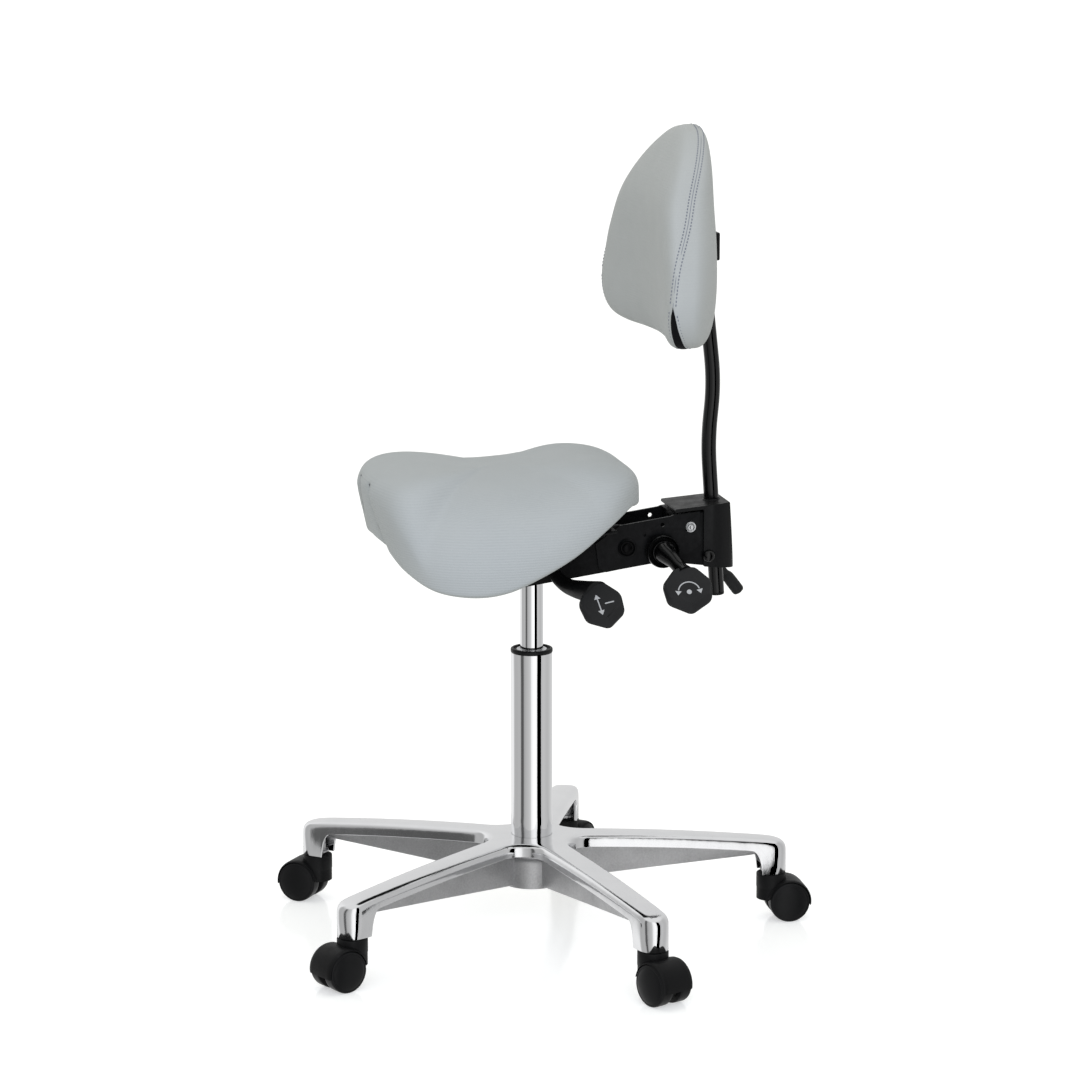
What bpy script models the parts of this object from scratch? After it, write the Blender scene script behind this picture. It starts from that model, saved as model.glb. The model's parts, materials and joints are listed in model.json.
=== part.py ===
"""Saddle stool with a backrest, built as an assembly of separate sub-parts.

Metres, +Z up. The front of the seat points to -Y, the seated person's left is +X, and
the origin is the middle of the footprint on the floor. Each sub-part is one object.
"""
import math

import bmesh
import bpy
from mathutils import Matrix, Vector

# General
GAP = 0.0003                 # clearance between pieces that touch
SEGMENTS = 20                # sides of a round piece

# Where the column stands, so that the footprint is centred on the origin
COLUMN_X = -0.004
COLUMN_Y = -0.0225

# Five-star base
ARM_COUNT = 5
FIRST_ARM_DEG = 87.76        # the arm that points to the rear, from +X
STEM_RADIUS_FROM_COLUMN = 0.301
ARM_TIP_RADIUS = 0.018       # round end of an arm, about its caster stem
SKIRT_RADIUS = 0.0174        # skirt below it, round the stem
ARM_HALF_WIDTH_HUB = 0.0205
WEB_FILLET = 0.030           # concave fillet between two arms
SLAB_THICKNESS = 0.015
HUB_TOP = 0.124
TIP_TOP = 0.103
HUB_BOTTOM = 0.063
HUB_RADIUS = 0.0285
RIB_HALF_WIDTH = 0.008
RIB_END = 0.272
RIB_BOTTOM_END = 0.083
SOCKET_BOTTOM = 0.0605
SOCKET_BOSS_RADIUS = 0.0105
STEM_RADIUS = 0.0055
STEM_TOP = 0.086

# Casters
CASTER_TURN_DEG = (0.0, -20.0, 2.0, -8.0, 10.0)   # trail direction against its arm
WHEEL_RADIUS = 0.025
WHEEL_INNER_FACE = 0.0055
WHEEL_OUTER_FACE = 0.026
CASTER_TRAIL = 0.020
AXLE_RADIUS = 0.003
NECK_RADIUS = 0.0182
NECK_TOP = 0.0595
HOOD_RADIUS = 0.0277
HOOD_HALF_WIDTH = 0.0235
WHEEL_WELL_RADIUS = 0.0259
WEB_HALF_WIDTH = 0.0048

# Gas lift
COLUMN_RADIUS = 0.025
COLUMN_WALL = 0.0015
COLUMN_BOTTOM = 0.066
COLUMN_TOP = 0.352
BUSH_LENGTH = 0.090
COLLAR_HEIGHT = 0.005
CYLINDER_RADIUS = 0.014
CYLINDER_BOTTOM = 0.155
CYLINDER_TOP = 0.470
ROD_RADIUS = 0.005
ROD_TOP = 0.300
PISTON_RADIUS = 0.0105
BUTTON_RADIUS = 0.004
BUTTON_TOP = 0.4785

# Mechanism, in a frame that leans with the rear up
MECHANISM_HEIGHT = 0.478     # height of the leaning frame's origin, on the column axis
MECHANISM_TILT_DEG = 8.0
FRAME_HALF_WIDTH = 0.030
PLATE = 0.003
FRAME_FRONT = -0.085
FRAME_REAR = 0.160
CHANNEL_TOP = 0.018
CHANNEL_BOTTOM = -0.037
CARRIER_HALF_WIDTH = 0.0333
BACK_PIVOT = (0.1096, -0.0117)     # along and up in the leaning frame
TILT_CLAMP = (0.1505, -0.0212)
REAR_BOLT = (0.1905, -0.0002)
BACK_TILT_DEG = (-15.0, 5.0)
SOCKET_LOW = 0.431
SEAT_BOLTS = ((-0.060, -0.062), (0.060, -0.062), (-0.060, 0.074), (0.060, 0.074))

# Rear cover and the upright tube, as distances behind the column and heights
TUBE_RADIUS = 0.009
TUBE_WALL = 0.0015
TUBE_PATH = ((0.2309, 0.4160), (0.2180, 0.6032), (0.2249, 0.6745), (0.2127, 0.7866),
             (0.2070, 0.8450))
COVER_HALF_WIDTH = 0.0365
COVER_OUTLINE = ((0.2046, 0.4555), (0.2455, 0.4508), (0.2387, 0.5325), (0.1690, 0.5270),
                 (0.1690, 0.5230), (0.2046, 0.5258))

# Levers
HEIGHT_LEVER_PIVOT = (0.034, 0.0136, 0.472)
HEIGHT_PADDLE = (0.140, 0.055, 0.4350)
TILT_LEVER_ROOT_X = 0.0365
TILT_PADDLE = (0.105, 0.168, 0.4412)
CLAMP_LEVER_ROOT = (-0.0370, 0.2290, 0.4610)
CLAMP_LEVER_END = (-0.0450, 0.2695, 0.4070)

# Seat: rim of the left half from the nose to the tail (sideways, behind column, height)
SEAT_RIM = ((0.000, -0.1965, 0.503), (0.035, -0.1955, 0.502), (0.070, -0.1900, 0.496),
            (0.122, -0.1780, 0.480), (0.163, -0.1510, 0.464), (0.187, -0.1110, 0.459),
            (0.192, -0.0700, 0.463), (0.188, -0.0300, 0.477), (0.174, 0.0190, 0.499),
            (0.146, 0.0660, 0.526), (0.100, 0.1020, 0.540), (0.050, 0.1215, 0.534),
            (0.000, 0.1265, 0.529))
SEAT_CENTRE_Y = -0.045
SEAT_CREST = ((-0.220, 0.594), (-0.140, 0.596), (-0.059, 0.588), (0.000, 0.593),
              (0.043, 0.600), (0.075, 0.601), (0.100, 0.598), (0.140, 0.588))
SEAT_NOSE_LEAN = 0.17        # how far the nose leans forward for each metre of height
SEAT_FOAM = 0.055
SHELL_WALL = 0.006
SEAT_FLAP = 0.84             # inner size of the cushion against its outer size
SHELL_SIZE = 0.812
SHELL_DROP = 0.0065

# Backrest pad: right half of its front outline from the top down (sideways, height)
PAD_OUTLINE = ((0.000, 0.9867), (0.042, 0.9780), (0.086, 0.9510), (0.126, 0.9080),
               (0.158, 0.8580), (0.178, 0.8120), (0.184, 0.7840), (0.178, 0.7600),
               (0.158, 0.7420), (0.120, 0.7345), (0.060, 0.7340), (0.000, 0.7345))
PAD_CENTRE_Z = 0.840
PAD_MIDDLE = ((0.740, 0.176), (0.800, 0.178), (0.850, 0.178), (0.900, 0.180),
              (0.940, 0.187), (0.990, 0.200))
PAD_HALF_THICKNESS = ((0.740, 0.036), (0.800, 0.036), (0.850, 0.035), (0.900, 0.031),
                      (0.940, 0.025), (0.990, 0.014))
PAD_WRAP = 1.05              # how strongly the pad wraps round the back
PAD_THINNING = 0.20          # how the pad's half thickness falls off sideways
BOARD_HALF = 0.004
PAD_GAP = 0.0015             # between the cushions and the board


def clear_scene():
    for old in list(bpy.data.objects):
        bpy.data.objects.remove(old, do_unlink=True)


def finish(name, color, metallic, roughness):
    material = bpy.data.materials.new(name)
    material.use_nodes = True
    shader = material.node_tree.nodes["Principled BSDF"]
    shader.inputs["Base Color"].default_value = (*color, 1.0)
    shader.inputs["Metallic"].default_value = metallic
    shader.inputs["Roughness"].default_value = roughness
    material.diffuse_color = (*color, 1.0)
    return material


def to_object(name, bm, material, parent=None, sharp_deg=35.0):
    bmesh.ops.recalc_face_normals(bm, faces=bm.faces)
    mesh = bpy.data.meshes.new(name)
    bm.to_mesh(mesh)
    bm.free()
    mesh.shade_smooth()
    mesh.set_sharp_from_angle(angle=math.radians(sharp_deg))
    mesh.materials.append(material)
    obj = bpy.data.objects.new(name, mesh)
    bpy.context.collection.objects.link(obj)
    obj.parent = parent
    return obj


def empty(name, location, parent=None, rotation=(0.0, 0.0, 0.0)):
    obj = bpy.data.objects.new(name, None)
    bpy.context.collection.objects.link(obj)
    obj.parent = parent
    obj.location = location
    obj.rotation_euler = rotation
    return obj


def loft(rings, close_ring=True, cap=True):
    """Join rings of points into a skin. A ring of one point closes to a tip."""
    bm = bmesh.new()
    made = [[bm.verts.new(point) for point in ring] for ring in rings]
    pairs = list(zip(made, made[1:]))
    if close_ring:
        pairs.append((made[-1], made[0]))
    for low, high in pairs:
        count = max(len(low), len(high))
        if count == 1:
            continue
        for i in range(count):
            j = (i + 1) % count
            corners = [low[i % len(low)], low[j % len(low)],
                       high[j % len(high)], high[i % len(high)]]
            face = list(dict.fromkeys(corners))
            bm.faces.new(face)
    if cap and not close_ring:
        for ring in (made[0], made[-1]):
            if len(ring) > 2:
                bm.faces.new(ring)
    return bm


def turned(name, profile, material, parent=None, segments=SEGMENTS, axis="Z"):
    """Turn a closed outline of (radius, height) points about an axis."""
    rings = []
    for radius, height in profile:
        if radius == 0.0:
            rings.append([Vector((0.0, 0.0, height))])
            continue
        ring = []
        for i in range(segments):
            turn = 2.0 * math.pi * i / segments
            ring.append(Vector((radius * math.cos(turn), radius * math.sin(turn), height)))
        rings.append(ring)
    obj = to_object(name, loft(rings), material, parent)
    if axis == "X":
        obj.data.transform(Matrix.Rotation(math.radians(90.0), 4, "Y"))
    if axis == "Y":
        obj.data.transform(Matrix.Rotation(math.radians(-90.0), 4, "X"))
    return obj


def cylinder_profile(radius, low, high):
    return ((0.0, low), (radius, low), (radius, high), (0.0, high))


def ring_profile(inner, outer, low, high):
    return ((inner, low), (outer, low), (outer, high), (inner, high))


def extruded(name, outline, low, high, material, parent=None, axis="Z"):
    """Extrude an outline from low to high. On axis X the outline is (y, z)."""
    rings = []
    for level in (low, high):
        if axis == "X":
            rings.append([Vector((level, a, b)) for a, b in outline])
        else:
            rings.append([Vector((a, b, level)) for a, b in outline])
    return to_object(name, loft(rings, close_ring=False), material, parent)


def apply_stack(obj):
    """Replace the mesh by what its modifiers make of it."""
    graph = bpy.context.evaluated_depsgraph_get()
    mesh = bpy.data.meshes.new_from_object(obj.evaluated_get(graph))
    obj.modifiers.clear()
    obj.data = mesh


def weld(obj, distance=0.00002):
    """Close the hairline slivers that a cut can leave."""
    bm = bmesh.new()
    bm.from_mesh(obj.data)
    bmesh.ops.remove_doubles(bm, verts=bm.verts, dist=distance)
    bmesh.ops.dissolve_degenerate(bm, edges=bm.edges, dist=distance)
    bm.to_mesh(obj.data)
    bm.free()


def boolean(obj, other, operation):
    """Cut or join with another object, which is used up. Both share one parent frame."""
    bpy.context.view_layer.update()
    modifier = obj.modifiers.new(operation.lower(), "BOOLEAN")
    modifier.operation = operation
    modifier.object = other
    apply_stack(obj)
    bpy.data.objects.remove(other, do_unlink=True)
    weld(obj)
    obj.data.shade_smooth()
    obj.data.set_sharp_from_angle(angle=math.radians(35.0))


def bevelled(obj, width, segments=2, angle_deg=50.0):
    modifier = obj.modifiers.new("bevel", "BEVEL")
    modifier.width = width
    modifier.segments = segments
    modifier.limit_method = "ANGLE"
    modifier.angle_limit = math.radians(angle_deg)
    bpy.context.view_layer.update()
    apply_stack(obj)


def origin_to(obj, pivot):
    """Move the object's origin to the pivot and leave its surface in place."""
    obj.data.transform(Matrix.Translation(-Vector(pivot)))
    obj.location = Vector(pivot)


def spline(points, count):
    """Points spread evenly along a smooth curve through the given points."""
    nodes = [Vector(p) for p in points]
    nodes = [2 * nodes[0] - nodes[1]] + nodes + [2 * nodes[-1] - nodes[-2]]
    fine = []
    for a, b, c, d in zip(nodes, nodes[1:], nodes[2:], nodes[3:]):
        for step in range(12):
            t = step / 12.0
            fine.append(0.5 * (2 * b + (c - a) * t + (2 * a - 5 * b + 4 * c - d) * t * t
                               + (3 * b - a - 3 * c + d) * t ** 3))
    fine.append(nodes[-2])
    lengths = [0.0]
    for a, b in zip(fine, fine[1:]):
        lengths.append(lengths[-1] + (b - a).length)
    result = []
    k = 0
    for i in range(count):
        target = lengths[-1] * i / (count - 1)
        while k < len(fine) - 2 and lengths[k + 1] < target:
            k += 1
        share = (target - lengths[k]) / (lengths[k + 1] - lengths[k])
        result.append(fine[k].lerp(fine[k + 1], share))
    return result


def between(table, value):
    """Read a table of (place, size) pairs, with straight lines between them."""
    if value <= table[0][0]:
        return table[0][1]
    for (a, fa), (b, fb) in zip(table, table[1:]):
        if value <= b:
            return fa + (fb - fa) * (value - a) / (b - a)
    return table[-1][1]


def bar(name, path, sizes, material, parent=None, sides=16):
    """A round bar along a path, with one radius for each point of the path."""
    rings = []
    points = [Vector(p) for p in path]
    for i, (point, radius) in enumerate(zip(points, sizes)):
        ahead = points[min(i + 1, len(points) - 1)] - points[max(i - 1, 0)]
        across = ahead.cross(Vector((0.0, 0.0, 1.0)))
        if across.length < 1e-6:
            across = Vector((1.0, 0.0, 0.0))
        across.normalize()
        up = across.cross(ahead).normalized()
        turns = [2.0 * math.pi * k / sides for k in range(sides)]
        rings.append([point + across * radius * math.cos(t) + up * radius * math.sin(t)
                      for t in turns])
    return to_object(name, loft(rings, close_ring=False), material, parent)


def rounded_path(points, radius, steps=5):
    """Replace the corners of a path by arcs."""
    nodes = [Vector(p) for p in points]
    path = [nodes[0]]
    for before, corner, after in zip(nodes, nodes[1:], nodes[2:]):
        entry = (before - corner).normalized()
        leave = (after - corner).normalized()
        turn = math.pi - entry.angle(leave)
        reach = radius * math.tan(turn / 2.0)
        start = corner + entry * reach
        end = corner + leave * reach
        for step in range(steps + 1):
            t = step / steps
            path.append(start.lerp(corner, t).lerp(corner.lerp(end, t), t))
    path.append(nodes[-1])
    return path


# ---------------------------------------------------------------- five-star base

def arm_direction(index):
    turn = math.radians(FIRST_ARM_DEG + 360.0 * index / ARM_COUNT)
    return math.cos(turn), math.sin(turn)


def arm_top(distance):
    """Height of an arm's top face at a distance from the column."""
    table = ((0.050, HUB_TOP), (0.120, 0.1205), (0.200, 0.1145), (0.280, 0.1065),
             (0.301, TIP_TOP), (0.320, 0.098))
    return between(table, distance)


def star_outline(inset):
    """Outline of the star seen from above, moved inwards by inset."""
    half_turn = math.pi / ARM_COUNT
    fillet = WEB_FILLET + inset
    tip = ARM_TIP_RADIUS - inset
    hub = ARM_HALF_WIDTH_HUB - inset
    points = []
    for index in range(ARM_COUNT):
        turn = math.radians(FIRST_ARM_DEG) + 2.0 * half_turn * index
        along = Vector((math.cos(turn), math.sin(turn)))
        side = Vector((-along.y, along.x))
        centre = (hub + fillet) / math.sin(half_turn)
        start = centre * math.cos(half_turn)
        places = [start + (STEM_RADIUS_FROM_COLUMN - start) * k / 3.0 for k in range(4)]
        widths = [hub + (tip - hub) * k / 3.0 for k in range(4)]
        for place, width in zip(places, widths):
            points.append(along * place - side * width)
        for k in range(1, 6):
            bend = math.pi * (k / 6.0 - 0.5)
            points.append(along * (STEM_RADIUS_FROM_COLUMN + tip * math.cos(bend))
                          + side * tip * math.sin(bend))
        for place, width in reversed(list(zip(places, widths))):
            points.append(along * place + side * width)
        middle = Matrix.Rotation(half_turn, 2) @ along
        inward = Matrix.Rotation(half_turn, 2) @ side
        reach = math.pi / 2.0 - half_turn
        for k in range(1, 4):
            bend = reach * (1.0 - k / 2.0)
            points.append(middle * (centre - fillet * math.cos(bend))
                          - inward * fillet * math.sin(bend))
    return points


def star_slab(name, material, parent):
    """The smooth top slab of the star, its top sloping down to the arm tips."""
    layers = ((0.0, SLAB_THICKNESS), (0.0, 0.0055), (0.0018, 0.0018), (0.0060, 0.0))
    rings = []
    for inset, drop in layers:
        ring = star_outline(inset)
        rings.append([Vector((p.x, p.y, arm_top(p.length) - drop)) for p in ring])
    bm = loft(rings, close_ring=False)
    bm.normal_update()
    bmesh.ops.triangulate(bm, faces=[f for f in bm.faces if len(f.verts) > 4])
    return to_object(name, bm, material, parent)


def star_base(material, parent):
    base = star_slab("star_base", material, parent)
    hub = turned("hub", cylinder_profile(HUB_RADIUS, HUB_BOTTOM, HUB_TOP - 0.004), material,
                 parent, segments=32)
    boolean(base, hub, "UNION")
    for index in range(ARM_COUNT):
        turn = math.radians(FIRST_ARM_DEG + 360.0 * index / ARM_COUNT)
        arm = Matrix.Rotation(turn, 4, "Z")
        rib = rib_solid(material, parent)
        rib.data.transform(arm)
        boolean(base, rib, "UNION")
        socket = socket_solid(material, parent)
        socket.data.transform(arm)
        boolean(base, socket, "UNION")
    seat_of_column = turned("taper", column_outer(GAP, 0.05, 0.14), material, parent,
                            segments=32)
    boolean(base, seat_of_column, "DIFFERENCE")
    return base


def rib_solid(material, parent):
    """The tapered rib under an arm that points along +X."""
    rings = []
    start = HUB_RADIUS - 0.006
    for place, low in ((start, HUB_BOTTOM + 0.0015), (0.045, 0.0665), (0.150, 0.0745),
                       (RIB_END, RIB_BOTTOM_END)):
        top = arm_top(place) - 0.006
        foot = RIB_HALF_WIDTH * 0.7
        rings.append([Vector((place, -RIB_HALF_WIDTH, top)), Vector((place, -foot, low)),
                      Vector((place, foot, low)), Vector((place, RIB_HALF_WIDTH, top))])
    return to_object("rib", loft(rings, close_ring=False), material, parent)


def socket_solid(material, parent):
    """The round skirt and the boss that take a caster stem, on an arm along +X."""
    outer = []
    inner = []
    wall = 0.0042
    for k in range(9):
        bend = math.pi * (k / 8.0 - 0.5)
        outer.append((math.cos(bend) * SKIRT_RADIUS, math.sin(bend) * SKIRT_RADIUS))
        inner.append((math.cos(bend) * (SKIRT_RADIUS - wall),
                      math.sin(bend) * (SKIRT_RADIUS - wall)))
    back = -0.011
    outline = [(back, -SKIRT_RADIUS)] + outer + [(back, SKIRT_RADIUS)]
    outline += [(back, SKIRT_RADIUS - wall)] + inner[::-1] + [(back, wall - SKIRT_RADIUS)]
    high = TIP_TOP - 0.0125
    rings = [[Vector((x, y, z)) for x, y in outline] for z in (SOCKET_BOTTOM, high)]
    skirt = to_object("skirt", loft(rings, close_ring=False), material, parent)
    boss = turned("boss", cylinder_profile(SOCKET_BOSS_RADIUS, SOCKET_BOTTOM + 0.001, high),
                  material, parent, segments=12)
    boolean(skirt, boss, "UNION")
    bore = turned("bore", cylinder_profile(STEM_RADIUS + GAP, 0.02, STEM_TOP + GAP),
                  material, parent, segments=12)
    boolean(skirt, bore, "DIFFERENCE")
    skirt.data.transform(Matrix.Translation((STEM_RADIUS_FROM_COLUMN, 0.0, 0.0)))
    return skirt


def column_outer(extra, low, high):
    """Outline of the column's pressed taper, wider by extra, between two heights."""
    shape = ((0.050, 0.0226), (0.126, 0.0246), (0.143, 0.0256), (0.150, COLUMN_RADIUS))
    inside = [(between(shape, z) + extra, z) for z in (low, 0.126, high)]
    return [(0.0, low)] + inside + [(0.0, high)]


# ---------------------------------------------------------------- casters

def caster_housing(name, material, parent):
    """Neck, hood and web, with the stem axis at the origin and the trail along +X."""
    axle_at = Matrix.Translation((CASTER_TRAIL, 0.0, WHEEL_RADIUS))
    hood = turned(name, cylinder_profile(HOOD_RADIUS, -HOOD_HALF_WIDTH, HOOD_HALF_WIDTH),
                  material, parent, segments=24, axis="Y")
    hood.data.transform(axle_at)
    low = extruded("low", ((-0.03, -0.02), (0.07, -0.02), (0.07, 0.019), (0.045, 0.021),
                           (0.020, 0.030), (-0.03, 0.030)), -0.04, 0.04, material, parent)
    low.data.transform(Matrix.Rotation(math.radians(90.0), 4, "X"))
    boolean(hood, low, "DIFFERENCE")
    neck = turned("neck", cylinder_profile(NECK_RADIUS, 0.026, NECK_TOP), material, parent)
    boolean(hood, neck, "UNION")
    for side in (1.0, -1.0):
        inner = WEB_HALF_WIDTH * side
        outer = 0.035 * side
        well = turned("well", cylinder_profile(WHEEL_WELL_RADIUS, min(inner, outer),
                                               max(inner, outer)), material, parent,
                      segments=24, axis="Y")
        well.data.transform(axle_at)
        boolean(hood, well, "DIFFERENCE")
    web = turned("web", cylinder_profile(0.0195, -WEB_HALF_WIDTH + 0.0001,
                                         WEB_HALF_WIDTH - 0.0001), material, parent,
                 axis="Y")
    web.data.transform(axle_at)
    boolean(hood, web, "UNION")
    hole = turned("hole", cylinder_profile(AXLE_RADIUS + GAP, -0.01, 0.01), material, parent,
                  segments=12, axis="Y")
    hole.data.transform(axle_at)
    boolean(hood, hole, "DIFFERENCE")
    bore = turned("bore", cylinder_profile(STEM_RADIUS + GAP, 0.044, 0.07), material, parent,
                  segments=12)
    boolean(hood, bore, "DIFFERENCE")
    return hood


def wheel_profile():
    """Outline of a wheel with a domed face and a blind bore, from the web outwards."""
    face = WHEEL_OUTER_FACE
    rim = WHEEL_RADIUS
    inner = WHEEL_INNER_FACE
    bore = AXLE_RADIUS + GAP
    return ((0.0, 0.0200), (bore, 0.0200), (bore, inner), (rim, inner), (rim, 0.0200),
            (rim - 0.0018, 0.0226), (rim - 0.0060, 0.0244), (0.0, face))


def caster(number, materials, parent):
    direction = arm_direction(number - 1)
    turn = math.radians(FIRST_ARM_DEG + 360.0 * (number - 1) / ARM_COUNT
                        + CASTER_TURN_DEG[number - 1])
    place = (STEM_RADIUS_FROM_COLUMN * direction[0], STEM_RADIUS_FROM_COLUMN * direction[1],
             0.0)
    swivel = empty(f"caster_{number}_swivel_axis", place, parent, (0.0, 0.0, turn))
    name = f"caster_{number}"
    turned(f"{name}_stem", ((0.0, 0.0445), (STEM_RADIUS, 0.0445), (STEM_RADIUS, 0.0597),
                            (STEM_RADIUS + 0.0025, 0.0597), (STEM_RADIUS + 0.0025, 0.0602),
                            (STEM_RADIUS, 0.0602), (STEM_RADIUS, STEM_TOP - 0.002),
                            (0.004, STEM_TOP), (0.0, STEM_TOP)),
           materials["steel"], swivel, segments=12)
    caster_housing(f"{name}_housing", materials["black"], swivel)
    axle_axis = empty(f"{name}_axle_axis", (CASTER_TRAIL, 0.0, WHEEL_RADIUS), swivel)
    turned(f"{name}_axle", cylinder_profile(AXLE_RADIUS, -0.0195, 0.0195),
           materials["steel"], axle_axis, segments=12, axis="Y")
    left = turned(f"{name}_wheel_left", wheel_profile(), materials["black"], axle_axis,
                  axis="Y")
    right = turned(f"{name}_wheel_right", wheel_profile(), materials["black"], axle_axis,
                   axis="Y")
    right.data.transform(Matrix.Rotation(math.pi, 4, "Z"))
    return left, right


# ---------------------------------------------------------------- gas lift

def gas_lift(materials, parent):
    inner = COLUMN_RADIUS - COLUMN_WALL
    rod_hole = ROD_RADIUS + GAP
    turned("column_tube",
           ((rod_hole, COLUMN_BOTTOM), (0.0230, COLUMN_BOTTOM), (0.0246, 0.126),
            (0.0256, 0.143), (COLUMN_RADIUS, 0.150), (COLUMN_RADIUS, COLUMN_TOP),
            (inner, COLUMN_TOP), (inner, 0.146), (0.0212, COLUMN_BOTTOM + 0.002),
            (rod_hole, COLUMN_BOTTOM + 0.002)),
           materials["chrome"], parent, segments=32)
    turned("guide_bush",
           ring_profile(CYLINDER_RADIUS + GAP, inner - GAP, COLUMN_TOP - BUSH_LENGTH,
                        COLUMN_TOP),
           materials["black"], parent)
    turned("column_collar",
           ((CYLINDER_RADIUS + 0.001, COLUMN_TOP + GAP), (0.0255, COLUMN_TOP + GAP),
            (0.0255, COLUMN_TOP + COLLAR_HEIGHT - 0.0015),
            (0.0235, COLUMN_TOP + COLLAR_HEIGHT),
            (CYLINDER_RADIUS + 0.001, COLUMN_TOP + COLLAR_HEIGHT)),
           materials["black"], parent)
    turned("thrust_bearing",
           ring_profile(rod_hole, 0.014, COLUMN_BOTTOM + 0.0023, COLUMN_BOTTOM + 0.0073),
           materials["steel"], parent)
    shoulder = COLUMN_BOTTOM + 0.0076
    turned("piston_rod",
           ((0.0, 0.0630), (ROD_RADIUS, 0.0630), (ROD_RADIUS, shoulder), (0.009, shoulder),
            (0.009, shoulder + 0.003), (ROD_RADIUS, shoulder + 0.003),
            (ROD_RADIUS, ROD_TOP - 0.014), (PISTON_RADIUS, ROD_TOP - 0.014),
            (PISTON_RADIUS, ROD_TOP), (0.0, ROD_TOP)),
           materials["steel"], parent)
    wall = 0.0018
    cavity = CYLINDER_RADIUS - wall
    button_hole = BUTTON_RADIUS + GAP
    turned("gas_cylinder",
           ((rod_hole + 0.0002, CYLINDER_BOTTOM), (CYLINDER_RADIUS, CYLINDER_BOTTOM),
            (CYLINDER_RADIUS, SOCKET_LOW), (0.0130, CYLINDER_TOP),
            (button_hole, CYLINDER_TOP), (button_hole, CYLINDER_TOP - 0.010),
            (0.0, CYLINDER_TOP - 0.010), (0.0, CYLINDER_TOP - 0.018),
            (cavity - 0.001, CYLINDER_TOP - 0.018), (cavity, CYLINDER_BOTTOM + 0.008),
            (rod_hole + 0.0002, CYLINDER_BOTTOM + 0.008)),
           materials["chrome"], parent, segments=32)
    turned("release_button",
           cylinder_profile(BUTTON_RADIUS, CYLINDER_TOP - 0.0040, BUTTON_TOP),
           materials["black"], parent, segments=16)


# ---------------------------------------------------------------- mechanism

def level_box(name, low, high, material, parent):
    outline = ((low[0], low[1]), (high[0], low[1]), (high[0], high[1]), (low[0], high[1]))
    return extruded(name, outline, low[2], high[2], material, parent)


def cross_hole(obj, place, radius, material, parent, reach=0.08):
    cutter = turned("cutter", cylinder_profile(radius, -reach, reach), material, parent,
                    segments=16, axis="X")
    cutter.data.transform(Matrix.Translation((0.0, place[0], place[1])))
    boolean(obj, cutter, "DIFFERENCE")


def main_frame(materials, leaning):
    """Channel that carries the seat, closed at the front, with the gas socket's hole."""
    steel = materials["mechanism"]
    half = FRAME_HALF_WIDTH
    side = ((FRAME_FRONT, CHANNEL_BOTTOM + 0.012), (FRAME_FRONT + 0.02, CHANNEL_BOTTOM),
            (FRAME_REAR - 0.012, CHANNEL_BOTTOM), (FRAME_REAR, CHANNEL_BOTTOM + 0.012),
            (FRAME_REAR, 0.004), (FRAME_REAR - 0.030, CHANNEL_TOP - 0.006),
            (0.100, CHANNEL_TOP), (FRAME_FRONT, CHANNEL_TOP))
    frame = extruded("main_frame", side, -half, half, steel, leaning, axis="X")
    hollow = level_box("hollow", (PLATE - half, FRAME_FRONT + PLATE, CHANNEL_BOTTOM + PLATE),
                       (half - PLATE, FRAME_REAR + 0.02, 0.05), steel, leaning)
    boolean(frame, hollow, "DIFFERENCE")
    for place in (BACK_PIVOT, TILT_CLAMP):
        cross_hole(frame, place, 0.004 + GAP, steel, leaning)
    socket_hole = turned("socket_hole", cylinder_profile(0.0195 + GAP, -0.12, 0.02), steel,
                         leaning)
    lean = Matrix.Rotation(math.radians(-MECHANISM_TILT_DEG), 4, "X")
    socket_hole.data.transform(lean)
    boolean(frame, socket_hole, "DIFFERENCE")
    window = level_box("window", (0.02, 0.003, -0.013), (0.05, 0.026, 0.010), steel, leaning)
    boolean(frame, window, "DIFFERENCE")
    return frame


def carrier_side():
    """Outline of the back carrier's side plates, along and up in the leaning frame."""
    return ((0.072, -0.030), (0.080, -0.0365), (0.178, -0.0345), (0.2000, -0.024),
            (0.2020, -0.018), (0.2045, 0.0165), (0.1720, CHANNEL_TOP),
            (0.1680, CHANNEL_TOP - 0.001), (0.1050, CHANNEL_TOP - 0.001), (0.072, 0.000))


def back_carrier(materials, leaning):
    steel = materials["mechanism"]
    half = CARRIER_HALF_WIDTH
    carrier = extruded("back_carrier", carrier_side(), -half, half, steel, leaning, axis="X")
    inner = FRAME_HALF_WIDTH + GAP
    hollow = level_box("hollow", (-inner, 0.05, -0.06), (inner, 0.172, 0.05), steel, leaning)
    boolean(carrier, hollow, "DIFFERENCE")
    cross_hole(carrier, BACK_PIVOT, 0.004 + GAP, steel, leaning)
    cross_hole(carrier, REAR_BOLT, 0.0035 + GAP, steel, leaning)
    for place, radius in (((0.1331, 0.0002), 0.0020), ((0.1567, 0.0085), 0.0026)):
        cross_hole(carrier, place, radius, steel, leaning)
    reach = math.hypot(TILT_CLAMP[0] - BACK_PIVOT[0], TILT_CLAMP[1] - BACK_PIVOT[1])
    start = math.atan2(TILT_CLAMP[1] - BACK_PIVOT[1], TILT_CLAMP[0] - BACK_PIVOT[0])
    low = start - math.radians(BACK_TILT_DEG[1] + 7.0)
    high = start - math.radians(BACK_TILT_DEG[0] - 7.0)
    slot = []
    for radius, turns in ((reach + 0.0046, range(9)), (reach - 0.0046, range(8, -1, -1))):
        for k in turns:
            turn = low + (high - low) * k / 8.0
            slot.append((BACK_PIVOT[0] + radius * math.cos(turn),
                         BACK_PIVOT[1] + radius * math.sin(turn)))
    cutter = extruded("slot", slot, -0.05, 0.05, steel, leaning, axis="X")
    boolean(carrier, cutter, "DIFFERENCE")
    origin_to(carrier, (0.0, *BACK_PIVOT))
    return carrier


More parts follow.
